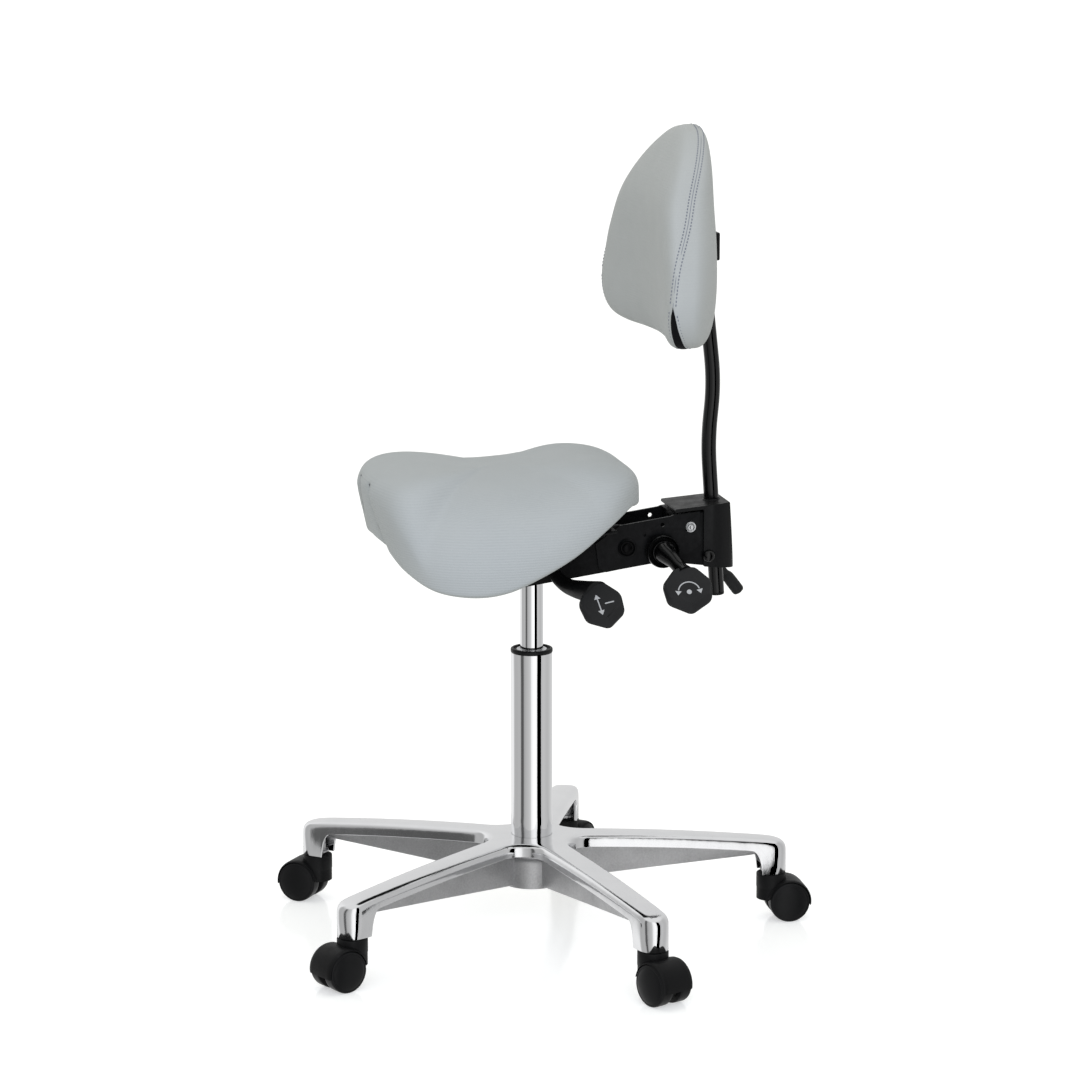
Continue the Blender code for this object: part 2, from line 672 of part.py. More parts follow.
def cross_pin(name, place, radius, heads, material, parent, segments=16):
    """A pin across the mechanism with a head at each end: (reach, radius, thickness)."""
    profile = [(0.0, -heads[0][0] - heads[0][2])]
    reach, head, thickness = heads[0]
    profile += [(head * 0.8, -reach - thickness), (head, -reach - thickness * 0.6),
                (head, -reach), (radius, -reach)]
    reach, head, thickness = heads[1]
    profile += [(radius, reach), (head, reach), (head, reach + thickness * 0.6),
                (head * 0.8, reach + thickness), (0.0, reach + thickness)]
    pin = turned(name, profile, material, parent, segments=segments, axis="X")
    pin.location = (0.0, *place)
    return pin


def seat_plate(materials, leaning):
    """Plate that bolts to the seat shell, resting on the channel."""
    low = CHANNEL_TOP + GAP
    plate = level_box("seat_plate", (-0.075, -0.080, low), (0.075, 0.092, low + PLATE),
                      materials["mechanism"], leaning)
    bevelled(plate, 0.0008, 1)
    for x, y in SEAT_BOLTS:
        hole = turned("hole", cylinder_profile(0.003 + GAP, 0.0, 0.05),
                      materials["mechanism"], leaning, segments=12)
        hole.data.transform(Matrix.Translation((x, y, 0.0)))
        boolean(plate, hole, "DIFFERENCE")
    return plate


def seat_bolts(materials, leaning):
    under = CHANNEL_TOP
    for number, (x, y) in enumerate(SEAT_BOLTS, start=1):
        bolt = turned(f"seat_bolt_{number}",
                      ((0.0, under - 0.004), (0.0055, under - 0.004), (0.0055, under),
                       (0.003, under), (0.003, under + 0.016), (0.0, under + 0.016)),
                      materials["steel"], leaning, segments=12)
        bolt.location = (x, y, 0.0)


def rear_cover(materials, parent):
    half = COVER_HALF_WIDTH
    cover = extruded("rear_cover", COVER_OUTLINE, -half, half, materials["black"], parent,
                     axis="X")
    corners = []
    for side in (1.0, -1.0):
        corner = extruded("corner", ((side * 0.040, 0.223), (side * 0.040, 0.253),
                                     (side * 0.010, 0.253), (side * 0.024, 0.2445),
                                     (side * 0.033, 0.2360)), 0.40, 0.56,
                          materials["black"], parent)
        corners.append(corner)
    for corner in corners:
        boolean(cover, corner, "DIFFERENCE")
    bevelled(cover, 0.0012, 1, 60.0)
    low = Vector((0.0, *TUBE_PATH[0]))
    high = Vector((0.0, *TUBE_PATH[1]))
    hole = bar("hole", (low, high), (TUBE_RADIUS + GAP, TUBE_RADIUS + GAP),
               materials["black"], parent, sides=24)
    boolean(cover, hole, "DIFFERENCE")
    return cover


def lever_frame(along, face_hint):
    """Axes of a paddle: along the lever, across it and out of its face."""
    along = Vector(along).normalized()
    across = Vector(face_hint).cross(along).normalized()
    return along, across, along.cross(across)


def paddle(name, centre, along, face_hint, length, width, thickness, material, parent):
    """Six-sided paddle with chamfered edges around a centre."""
    along, across, out = lever_frame(along, face_hint)
    outline = ((-0.50, -0.22), (-0.16, -0.50), (0.26, -0.44), (0.50, 0.0), (0.26, 0.44),
               (-0.16, 0.50), (-0.50, 0.22))
    rings = []
    for level, scale in ((-0.5, 0.80), (-0.16, 1.0), (0.30, 1.0), (0.5, 0.90)):
        ring = []
        for a, b in outline:
            ring.append(Vector(centre) + along * a * length * scale
                        + across * b * width * scale + out * level * thickness)
        rings.append(ring)
    obj = to_object(name, loft(rings, close_ring=False), material, parent)
    bevelled(obj, 0.0016, 2, 25.0)
    return obj


def height_lever(materials, parent):
    black = materials["black"]
    pivot = Vector(HEIGHT_LEVER_PIVOT)
    end = Vector(HEIGHT_PADDLE)
    outward = Vector((end.x, end.y, 0.0)).normalized()
    tongue = Vector((0.0, 0.0, BUTTON_TOP + GAP + 0.0032))
    neck = end - (end - pivot).normalized() * 0.0306
    path = (tongue - outward * 0.005, tongue + outward * 0.014, pivot, pivot + outward * 0.022
            + Vector((0.0, 0.0, -0.009)), neck)
    arm = bar("height_lever_arm", path, (0.0028, 0.0030, 0.0055, 0.0110, 0.0122), black,
              parent, sides=12)
    origin_to(arm, pivot)
    drop = (end - pivot).normalized()
    blade = paddle("height_lever_paddle", end, drop, (0.45, -0.15, 0.85), 0.060, 0.053,
                   0.013, black, parent)
    origin_to(blade, pivot)
    return arm, blade


def tilt_lever(materials, parent, root):
    black = materials["black"]
    end = Vector(TILT_PADDLE)
    start = Vector((TILT_LEVER_ROOT_X, root.y, root.z))
    collar = turned("tilt_lever_collar",
                    ((0.0045, 0.0), (0.0200, 0.0), (0.0205, 0.004), (0.0190, 0.0110),
                     (0.0150, 0.0135), (0.0045, 0.0135)), black, parent, axis="X")
    collar.location = start
    knee = Vector((start.x + 0.0185, start.y, start.z))
    drop = Vector((0.050, 0.012, -0.038)).normalized()
    neck = end - drop * 0.0322
    arm = bar("tilt_lever_arm", (knee, knee + Vector((0.006, 0.001, -0.002)),
                                 knee.lerp(neck, 0.55), neck),
              (0.0135, 0.0125, 0.0100, 0.0078), black, parent, sides=14)
    origin_to(arm, start)
    blade = paddle("tilt_lever_paddle", end, drop, (0.75, -0.10, 0.65), 0.061, 0.060, 0.013,
                   black, parent)
    origin_to(blade, start)


def clamp_lever(materials, parent):
    """Handle that locks the upright tube at its height."""
    black = materials["black"]
    root = Vector(CLAMP_LEVER_ROOT)
    end = Vector(CLAMP_LEVER_END)
    hub = turned("clamp_lever", cylinder_profile(0.0095, -0.0110, 0.0), black, parent,
                 axis="X", segments=20)
    hub.data.transform(Matrix.Translation(root))
    start = root + Vector((-0.006, 0.002, -0.003))
    heel = start.lerp(end, 0.42)
    tip = end + (end - heel).normalized() * 0.004
    handle = bar("handle", (start, heel, heel.lerp(end, 0.12), end, tip),
                 (0.0048, 0.0050, 0.0072, 0.0076, 0.0052), black, parent, sides=14)
    boolean(hub, handle, "UNION")
    origin_to(hub, root)


# ---------------------------------------------------------------- seat

def seat_rim():
    """Rim of the whole seat: even angles about its centre, as (turn, reach, height)."""
    half = spline(SEAT_RIM, 17)
    left = [Vector((-p.x, p.y, p.z)) for p in half[1:-1]]
    return half + left[::-1]


def seat_exponent(point):
    """How boxy the crown is: nearly square at the nose, rounder at the sides."""
    forward = max(0.0, (-point.y - 0.172) / 0.022)
    backward = max(0.0, (point.y - 0.05) / 0.07)
    return 2.3 + 4.7 * min(forward, 1.0) + 2.0 * min(backward, 1.0)


def seat_surface(scale, lower, rim_lift, steps):
    """Rings of a saddle surface from the crown's middle out to the rim."""
    centre = Vector((0.0, SEAT_CENTRE_Y, 0.0))
    crest_mid = between(SEAT_CREST, SEAT_CENTRE_Y) - lower
    rings = [[Vector((0.0, SEAT_CENTRE_Y, crest_mid))]]
    for step in steps:
        ring = []
        for rim in seat_rim():
            flat = Vector((rim.x, rim.y, 0.0))
            place = centre.lerp(flat, step * scale)
            crest = between(SEAT_CREST, place.y) - lower
            power = seat_exponent(rim)
            fall = max(0.0, 1.0 - step ** power) ** (1.0 / power)
            base = rim.z + rim_lift
            rise = (crest - base) * fall
            forward = min(1.0, max(0.0, (-place.y - 0.12) / 0.06))
            ring.append(Vector((place.x, place.y - SEAT_NOSE_LEAN * forward * rise,
                                base + rise)))
        rings.append(ring)
    return rings


CROWN_STEPS = (0.20, 0.40, 0.58, 0.74, 0.86, 0.94, 0.985, 1.0)
INNER_STEPS = (0.35, 0.65, 0.87, 1.0)


def seat_cushion(materials, parent):
    outer = seat_surface(1.0, 0.0, 0.010, CROWN_STEPS)
    roll = seat_surface(0.985, 0.0, 0.002, (1.0,))[1:]
    inner = seat_surface(SEAT_FLAP, SEAT_FOAM, 0.0, INNER_STEPS)
    rings = outer + roll + inner[::-1]
    return to_object("seat_cushion", loft(rings, close_ring=False), materials["fabric"],
                     parent, sharp_deg=60.0)


def seat_shell(materials, parent, leaning):
    outer = seat_surface(SHELL_SIZE, SEAT_FOAM + SHELL_DROP, 0.0005, INNER_STEPS)
    inner = seat_surface(SHELL_SIZE - 0.036, SEAT_FOAM + SHELL_DROP + SHELL_WALL, 0.0005,
                         INNER_STEPS)
    rings = outer + inner[::-1]
    shell = to_object("seat_shell", loft(rings, close_ring=False), materials["black"],
                      parent)
    low = CHANNEL_TOP + 2.0 * GAP + PLATE
    block = level_box("block", (-0.072, -0.076, low), (0.072, 0.088, low + 0.012),
                      materials["black"], parent)
    lean = (Matrix.Translation((0.0, 0.0, MECHANISM_HEIGHT))
            @ Matrix.Rotation(math.radians(MECHANISM_TILT_DEG), 4, "X"))
    block.data.transform(lean)
    boolean(shell, block, "UNION")
    post = level_box("post", (-0.058, -0.050, low + 0.010), (0.058, 0.030, 0.0530),
                     materials["black"], parent)
    post.data.transform(lean)
    boolean(shell, post, "UNION")
    for x, y in SEAT_BOLTS:
        hole = turned("hole", cylinder_profile(0.003 + GAP, 0.0, CHANNEL_TOP + 0.0165),
                      materials["black"], parent, segments=12)
        hole.data.transform(lean @ Matrix.Translation((x, y, 0.0)))
        boolean(shell, hole, "DIFFERENCE")
    return shell


# ---------------------------------------------------------------- backrest

def pad_outline():
    half = spline([(x, 0.0, z) for x, z in PAD_OUTLINE], 19)
    left = [Vector((-p.x, 0.0, p.z)) for p in half[1:-1]]
    return half + left[::-1]


def pad_layer(offset, share, steps):
    """Rings of a pad surface. Share 1 is its back, -1 its front, 0 its middle."""
    middle = Vector((0.0, 0.0, PAD_CENTRE_Z))
    rings = []
    for step in steps:
        ring = []
        for rim in pad_outline():
            place = middle.lerp(rim, step)
            depth = between(PAD_MIDDLE, place.z) - PAD_WRAP * place.x ** 2
            half = between(PAD_HALF_THICKNESS, place.z) - PAD_THINNING * place.x ** 2
            round_off = max(0.0, 1.0 - step ** 4.0) ** 0.25
            reach = share * half * round_off + offset
            ring.append(Vector((place.x, depth + reach, place.z)))
        rings.append(ring)
        if step == 0.0:
            rings[-1] = ring[:1]
    return rings


PAD_STEPS = (0.0, 0.30, 0.55, 0.75, 0.88, 0.96, 0.99)
BOARD_STEPS = (0.0, 0.40, 0.70, 0.90)


def pad_pieces(materials, parent):
    """Front cushion, plywood board and rear cushion, one behind the other."""
    front_face = pad_layer(0.0, -1.0, PAD_STEPS)
    front_back = pad_layer(0.0, 0.0, (0.99, 0.915, 0.90, 0.70, 0.40, 0.0))
    front = to_object("pad_front_cushion", loft(front_face + front_back, close_ring=False),
                      materials["fabric"], parent, sharp_deg=60.0)
    board_front = pad_layer(PAD_GAP, 0.0, BOARD_STEPS)
    board_back = pad_layer(PAD_GAP + 2.0 * BOARD_HALF, 0.0, BOARD_STEPS[::-1])
    board = to_object("pad_board", loft(board_front + board_back, close_ring=False),
                      materials["wood"], parent)
    rear_front = pad_layer(2.0 * (PAD_GAP + BOARD_HALF), 0.0, (0.0, 0.40, 0.70, 0.915))
    skirt = pad_layer(PAD_GAP, 0.0, (0.915, 0.99))
    rear_back = pad_layer(0.0, 1.0, PAD_STEPS[::-1][1:])
    rear = to_object("pad_rear_cushion",
                     loft(rear_front + skirt + rear_back, close_ring=False),
                     materials["fabric"], parent, sharp_deg=60.0)
    channel = level_box("channel", (-0.0125, 0.1960, 0.70), (0.0125, 0.260, 0.8560),
                        materials["fabric"], parent)
    boolean(rear, channel, "DIFFERENCE")
    recess = level_box("recess", (-0.0215, 0.1958, 0.8210), (0.0215, 0.260, 0.8615),
                       materials["fabric"], parent)
    boolean(rear, recess, "DIFFERENCE")
    return front, board, rear


def upright_tube(materials, parent):
    path = rounded_path([(0.0, y, z) for y, z in TUBE_PATH], 0.060, 3)
    sides = 16
    rings = []
    for radius, order in ((TUBE_RADIUS, 1), (TUBE_RADIUS - TUBE_WALL, -1)):
        skin = []
        for i, point in enumerate(path):
            ahead = path[min(i + 1, len(path) - 1)] - path[max(i - 1, 0)]
            side = Vector((1.0, 0.0, 0.0))
            up = side.cross(ahead).normalized()
            turns = [2.0 * math.pi * k / sides for k in range(sides)]
            skin.append([point + side * radius * math.cos(t) + up * radius * math.sin(t)
                         for t in turns])
        rings += skin[::order]
    tube = to_object("upright_tube", loft(rings), materials["tube"], parent)
    low = path[0]
    down = (path[0] - path[1]).normalized()
    inner = TUBE_RADIUS - TUBE_WALL - GAP
    plug = bar("tube_end_cap", (low - down * 0.012, low + down * GAP, low + down * GAP,
                                low + down * 0.0025, low + down * 0.0035),
               (inner, inner, TUBE_RADIUS, TUBE_RADIUS, TUBE_RADIUS - 0.0015),
               materials["black"], parent, sides=20)
    bracket = level_box("pad_bracket", (-0.0205, 0.1965, 0.8240), (0.0205, 0.2265, 0.8575),
                        materials["black"], parent)
    bevelled(bracket, 0.0020, 2)
    hole = bar("hole", ((0.0, 0.2149, 0.7600), path[-1] + Vector((0.0, 0.0, 0.0003))),
               (TUBE_RADIUS + GAP, TUBE_RADIUS + GAP), materials["black"], parent, sides=20)
    boolean(bracket, hole, "DIFFERENCE")
    return tube, plug, bracket


def main():
    clear_scene()
    materials = {
        "aluminium": finish("polished_aluminium", (0.72, 0.73, 0.74), 1.0, 0.16),
        "chrome": finish("chrome", (0.80, 0.81, 0.82), 1.0, 0.08),
        "steel": finish("zinc_steel", (0.62, 0.63, 0.64), 1.0, 0.30),
        "black": finish("black_plastic", (0.022, 0.022, 0.023), 0.0, 0.42),
        "mechanism": finish("black_steel", (0.012, 0.012, 0.013), 0.3, 0.45),
        "tube": finish("black_tube", (0.010, 0.010, 0.011), 0.2, 0.28),
        "fabric": finish("grey_upholstery", (0.42, 0.45, 0.47), 0.0, 0.60),
        "wood": finish("plywood", (0.55, 0.38, 0.22), 0.0, 0.60),
    }
    column_axis = empty("column_axis", (COLUMN_X, COLUMN_Y, 0.0))
    leaning = empty("leaning_frame", (0.0, 0.0, MECHANISM_HEIGHT), column_axis,
                    (math.radians(MECHANISM_TILT_DEG), 0.0, 0.0))
    bpy.context.view_layer.update()

    star_base(materials["aluminium"], column_axis)
    for number in range(1, ARM_COUNT + 1):
        caster(number, materials, column_axis)
    gas_lift(materials, column_axis)

    turned("gas_socket", ring_profile(CYLINDER_RADIUS + GAP, 0.0195, SOCKET_LOW,
                                      CYLINDER_TOP - 0.002), materials["mechanism"],
           column_axis)
    main_frame(materials, leaning)
    seat_plate(materials, leaning)
    seat_bolts(materials, leaning)
    back_carrier(materials, leaning)
    cross_pin("back_pivot_pin", BACK_PIVOT, 0.004,
              ((CARRIER_HALF_WIDTH + GAP, 0.008, 0.004), (CARRIER_HALF_WIDTH + GAP, 0.0115,
                                                          0.003)),
              materials["mechanism"], leaning)
    cross_pin("tilt_clamp_bolt", TILT_CLAMP, 0.004,
              ((CARRIER_HALF_WIDTH + GAP, 0.008, 0.005), (CARRIER_HALF_WIDTH + GAP, 0.0080,
                                                          0.0024)),
              materials["steel"], leaning)
    cross_pin("rear_bolt", REAR_BOLT, 0.0035,
              ((CARRIER_HALF_WIDTH + GAP, 0.0065, 0.004), (CARRIER_HALF_WIDTH + GAP, 0.0065,
                                                           0.004)),
              materials["steel"], leaning)
    clamp_point = leaning.matrix_world @ Vector((0.0, *TILT_CLAMP))
    tilt_lever(materials, column_axis, column_axis.matrix_world.inverted() @ clamp_point)
    height_lever(materials, column_axis)
    rear_cover(materials, column_axis)
    cap = turned("cover_screw_cap", ((0.0, 0.0), (0.0065, 0.0), (0.0065, 0.0020),
                                     (0.0045, 0.0042), (0.0, 0.0052)), materials["black"],
                 column_axis, axis="X", segments=16)
    cap.location = (COVER_HALF_WIDTH + GAP, 0.2105, 0.4685)
    clamp_lever(materials, column_axis)

    seat_cushion(materials, column_axis)
    seat_shell(materials, column_axis, leaning)
    upright_tube(materials, column_axis)
    pad_pieces(materials, column_axis)


main()
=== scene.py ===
"""Studio picture of a saddle stool with a backrest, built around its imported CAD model.

Metres, +Z up, the front of the seat towards -Y. Shapes are worked out from the column's
axis and moved to their place at the end, because the column stands off the origin.
"""
import json
import math

import bmesh
import bpy
from mathutils import Matrix, Vector
from mathutils.bvhtree import BVHTree


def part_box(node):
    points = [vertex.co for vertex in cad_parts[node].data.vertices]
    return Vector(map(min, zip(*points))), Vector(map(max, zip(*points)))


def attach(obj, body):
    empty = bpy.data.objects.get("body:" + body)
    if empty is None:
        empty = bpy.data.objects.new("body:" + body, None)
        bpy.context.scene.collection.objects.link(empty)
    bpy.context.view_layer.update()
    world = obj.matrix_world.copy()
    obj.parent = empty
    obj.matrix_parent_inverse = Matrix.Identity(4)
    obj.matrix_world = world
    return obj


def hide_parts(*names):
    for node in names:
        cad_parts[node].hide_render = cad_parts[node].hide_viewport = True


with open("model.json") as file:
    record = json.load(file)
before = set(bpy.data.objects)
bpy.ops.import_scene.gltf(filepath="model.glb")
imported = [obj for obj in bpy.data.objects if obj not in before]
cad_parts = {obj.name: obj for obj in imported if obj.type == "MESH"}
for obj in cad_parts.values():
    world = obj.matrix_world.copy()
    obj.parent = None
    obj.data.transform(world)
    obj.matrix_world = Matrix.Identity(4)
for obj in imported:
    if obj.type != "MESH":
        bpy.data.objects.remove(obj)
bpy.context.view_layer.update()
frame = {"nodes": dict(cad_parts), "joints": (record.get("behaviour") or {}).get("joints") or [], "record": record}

JOINTS = {joint["name"]: joint for joint in frame["joints"]}
COLUMN = Vector((*JOINTS["seat_swivel"]["pos_m"][:2], 0.0))
AT_COLUMN = Matrix.Translation(COLUMN)

# ------------------------------------------------------------------ shapes


def loft(rings, loop=False, caps=True):
    """Join rings of points into a skin. A ring of one point closes to a tip."""
    bm = bmesh.new()
    made = [[bm.verts.new(point) for point in ring] for ring in rings]
    pairs = list(zip(made, made[1:]))
    if loop:
        pairs.append((made[-1], made[0]))
    for low, high in pairs:
        count = max(len(low), len(high))
        if count == 1:
            continue
        for i in range(count):
            j = (i + 1) % count
            corners = [low[i % len(low)], low[j % len(low)],
                       high[j % len(high)], high[i % len(high)]]
            bm.faces.new(list(dict.fromkeys(corners)))
    if caps and not loop:
        for ring in (made[0], made[-1]):
            if len(ring) > 2:
                bm.faces.new(ring)
    bmesh.ops.recalc_face_normals(bm, faces=bm.faces)
    return bm


def rounded(points, radius, steps=4, loop=True):
    """Round the corners of a line or outline."""
    result = []
    last = len(points) - 1
    for i, point in enumerate(points):
        corner = Vector(point)
        if not loop and i in (0, last):
            result.append(corner)
            continue
        before = Vector(points[i - 1]) - corner
        after = Vector(points[(i + 1) % len(points)]) - corner
        reach = min(radius, 0.48 * before.length, 0.48 * after.length)
        start = corner + before.normalized() * reach
        end = corner + after.normalized() * reach
        for k in range(steps + 1):
            t = k / steps
            result.append(start.lerp(corner, t).lerp(corner.lerp(end, t), t))
    return result


def circle(radius, count=72, start=0.0):
    turns = [start + 2.0 * math.pi * i / count for i in range(count)]
    return [Vector((radius * math.cos(t), radius * math.sin(t))) for t in turns]


def lathe(profile, segments=72, loop=False, axis="Z"):
    """Turn an outline of (radius, height) points about an axis."""
    rings = []
    for radius, height in profile:
        if radius < 1e-7:
            rings.append([Vector((0.0, 0.0, height))])
            continue
        rings.append([Vector((p.x, p.y, height)) for p in circle(radius, segments)])
    bm = loft(rings, loop=loop)
    if axis == "X":
        bm.transform(Matrix.Rotation(math.radians(90.0), 4, "Y"))
    if axis == "Y":
        bm.transform(Matrix.Rotation(math.radians(-90.0), 4, "X"))
    return bm


def inset(outline, depth):
    """Move an anticlockwise outline inwards."""
    result = []
    for i, point in enumerate(outline):
        run = outline[(i + 1) % len(outline)] - outline[i - 1]
        run.normalize()
        result.append(point + Vector((-run.y, run.x)) * depth)
    return result


EDGE = ((1.0, 0.0), (0.55, 0.07), (0.2, 0.3), (0.0, 1.0))   # a quarter round: inset, drop


def slab(outline, low, high, edge):
    """Solid of an anticlockwise outline between two heights, with rounded edges."""
    outline = [Vector(p) for p in outline]
    rings = []
    for inward, rise in EDGE:
        rings.append((inset(outline, inward * edge), low + rise * edge))
    for inward, rise in reversed(EDGE):
        rings.append((inset(outline, inward * edge), high - rise * edge))
    return loft([[Vector((p.x, p.y, z)) for p in ring] for ring, z in rings])


def smooth_path(points, per_span=8):
    """Smooth line through the given points."""
    nodes = [Vector(p) for p in points]
    nodes = [2 * nodes[0] - nodes[1]] + nodes + [2 * nodes[-1] - nodes[-2]]
    path = []
    for a, b, c, d in zip(nodes, nodes[1:], nodes[2:], nodes[3:]):
        for step in range(per_span):
            t = step / per_span
            path.append(0.5 * (2 * b + (c - a) * t + (2 * a - 5 * b + 4 * c - d) * t * t
                               + (3 * b - a - 3 * c + d) * t ** 3))
    path.append(nodes[-2])
    return path


def even_path(points, count):
    """Points spread evenly along a smooth line through the given points."""
    fine = smooth_path(points, 12)
    lengths = [0.0]
    for a, b in zip(fine, fine[1:]):
        lengths.append(lengths[-1] + (b - a).length)
    result = []
    k = 0
    for i in range(count):
        target = lengths[-1] * i / (count - 1)
        while k < len(fine) - 2 and lengths[k + 1] < target:
            k += 1
        share = (target - lengths[k]) / (lengths[k + 1] - lengths[k])
        result.append(fine[k].lerp(fine[k + 1], share))
    return result


def sweep(path, radius_at, sides=32, flat=1.0, side=None):
    """Round bar along a path. radius_at takes the share of the way along."""
    rings = []
    last = len(path) - 1
    for i, point in enumerate(path):
        ahead = (path[min(i + 1, last)] - path[max(i - 1, 0)]).normalized()
        across = side.copy() if side else ahead.cross(Vector((0.0, 0.0, 1.0)))
        across = (across - ahead * across.dot(ahead)).normalized()
        up = across.cross(ahead).normalized()
        radius = radius_at(i / last)
        rings.append([point + across * p.x * radius + up * p.y * radius * flat
                      for p in circle(1.0, sides)])
    return loft(rings)


def table_value(table, value):
    """Read a table of (place, size) pairs along a smooth curve through them."""
    places = [p for p, _ in table]
    sizes = [s for _, s in table]
    if value <= places[0]:
        return sizes[0]
    if value >= places[-1]:
        return sizes[-1]
    k = max(i for i, place in enumerate(places) if place <= value)
    slopes = []
    for i in (k, k + 1):
        low, high = max(i - 1, 0), min(i + 1, len(table) - 1)
        slopes.append((sizes[high] - sizes[low]) / (places[high] - places[low]))
    span = places[k + 1] - places[k]
    t = (value - places[k]) / span
    return ((2 * t ** 3 - 3 * t ** 2 + 1) * sizes[k] + (t ** 3 - 2 * t ** 2 + t) * span * slopes[0]
            + (3 * t ** 2 - 2 * t ** 3) * sizes[k + 1] + (t ** 3 - t ** 2) * span * slopes[1])


def ease(low, high, value):
    """0 below low, 1 above high, and a smooth rise between."""
    t = min(1.0, max(0.0, (value - low) / (high - low)))
    return t * t * (3.0 - 2.0 * t)


def merge(*parts):
    """One bmesh from several, which are used up."""
    whole = bmesh.new()
    for part in parts:
        mesh = bpy.data.meshes.new("merge")
        part.to_mesh(mesh)
        part.free()
        whole.from_mesh(mesh)
        bpy.data.meshes.remove(mesh)
    return whole


def moved(bm, *matrices):
    for matrix in matrices:
        bm.transform(matrix)
    return bm


def shade(obj, sharp_deg=35.0):
    obj.data.shade_smooth()
    obj.data.set_sharp_from_angle(angle=math.radians(sharp_deg))


def piece(name, bm, material, body, slot=None, nodes=(), at=AT_COLUMN, sharp_deg=35.0):
    """Make a shown piece that rides on a CAD body and may stand for CAD nodes."""
    mesh = bpy.data.meshes.new(name)
    bm.transform(at)
    bm.to_mesh(mesh)
    bm.free()
    mesh.materials.append(material)
    obj = bpy.data.objects.new(name, mesh)
    bpy.context.scene.collection.objects.link(obj)
    shade(obj, sharp_deg)
    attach(obj, body)
    if nodes:
        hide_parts(*nodes)
    return obj


def round_edges(obj, width, segments=2, angle_deg=35.0):
    """Break an object's sharp edges with a small round."""
    bevel = obj.modifiers.new("edges", "BEVEL")
    bevel.width = width
    bevel.segments = segments
    bevel.limit_method = "ANGLE"
    bevel.angle_limit = math.radians(angle_deg)
    bevel.harden_normals = True
    return obj


def solid(bm):
    """A loose object to cut with."""
    mesh = bpy.data.meshes.new("solid")
    bm.to_mesh(mesh)
    bm.free()
    obj = bpy.data.objects.new("solid", mesh)
    bpy.context.scene.collection.objects.link(obj)
    return obj


def combined(first, *steps):
    """Cut from or add to a bmesh: steps are (operation, bmesh)."""
    base = solid(first)
    for operation, bm in steps:
        other = solid(bm)
        modifier = base.modifiers.new("step", "BOOLEAN")
        modifier.operation = operation
        modifier.object = other
        bpy.context.view_layer.update()
        graph = bpy.context.evaluated_depsgraph_get()
        mesh = bpy.data.meshes.new_from_object(base.evaluated_get(graph))
        base.modifiers.clear()
        base.data = mesh
        bpy.data.objects.remove(other, do_unlink=True)
    result = bmesh.new()
    result.from_mesh(base.data)
    bpy.data.objects.remove(base, do_unlink=True)
    bmesh.ops.remove_doubles(result, verts=result.verts, dist=0.00001)
    bmesh.ops.dissolve_degenerate(result, edges=result.edges, dist=0.00001)
    return result


def plate(half, front, rear, corner, low, high, edge):
    """Level slab with a rounded rectangle for its outline."""
    outline = ((-half, front), (half, front), (half, rear), (-half, rear))
    return slab(rounded(outline, corner, 6), low, high, edge)


# ------------------------------------------------------------------ materials


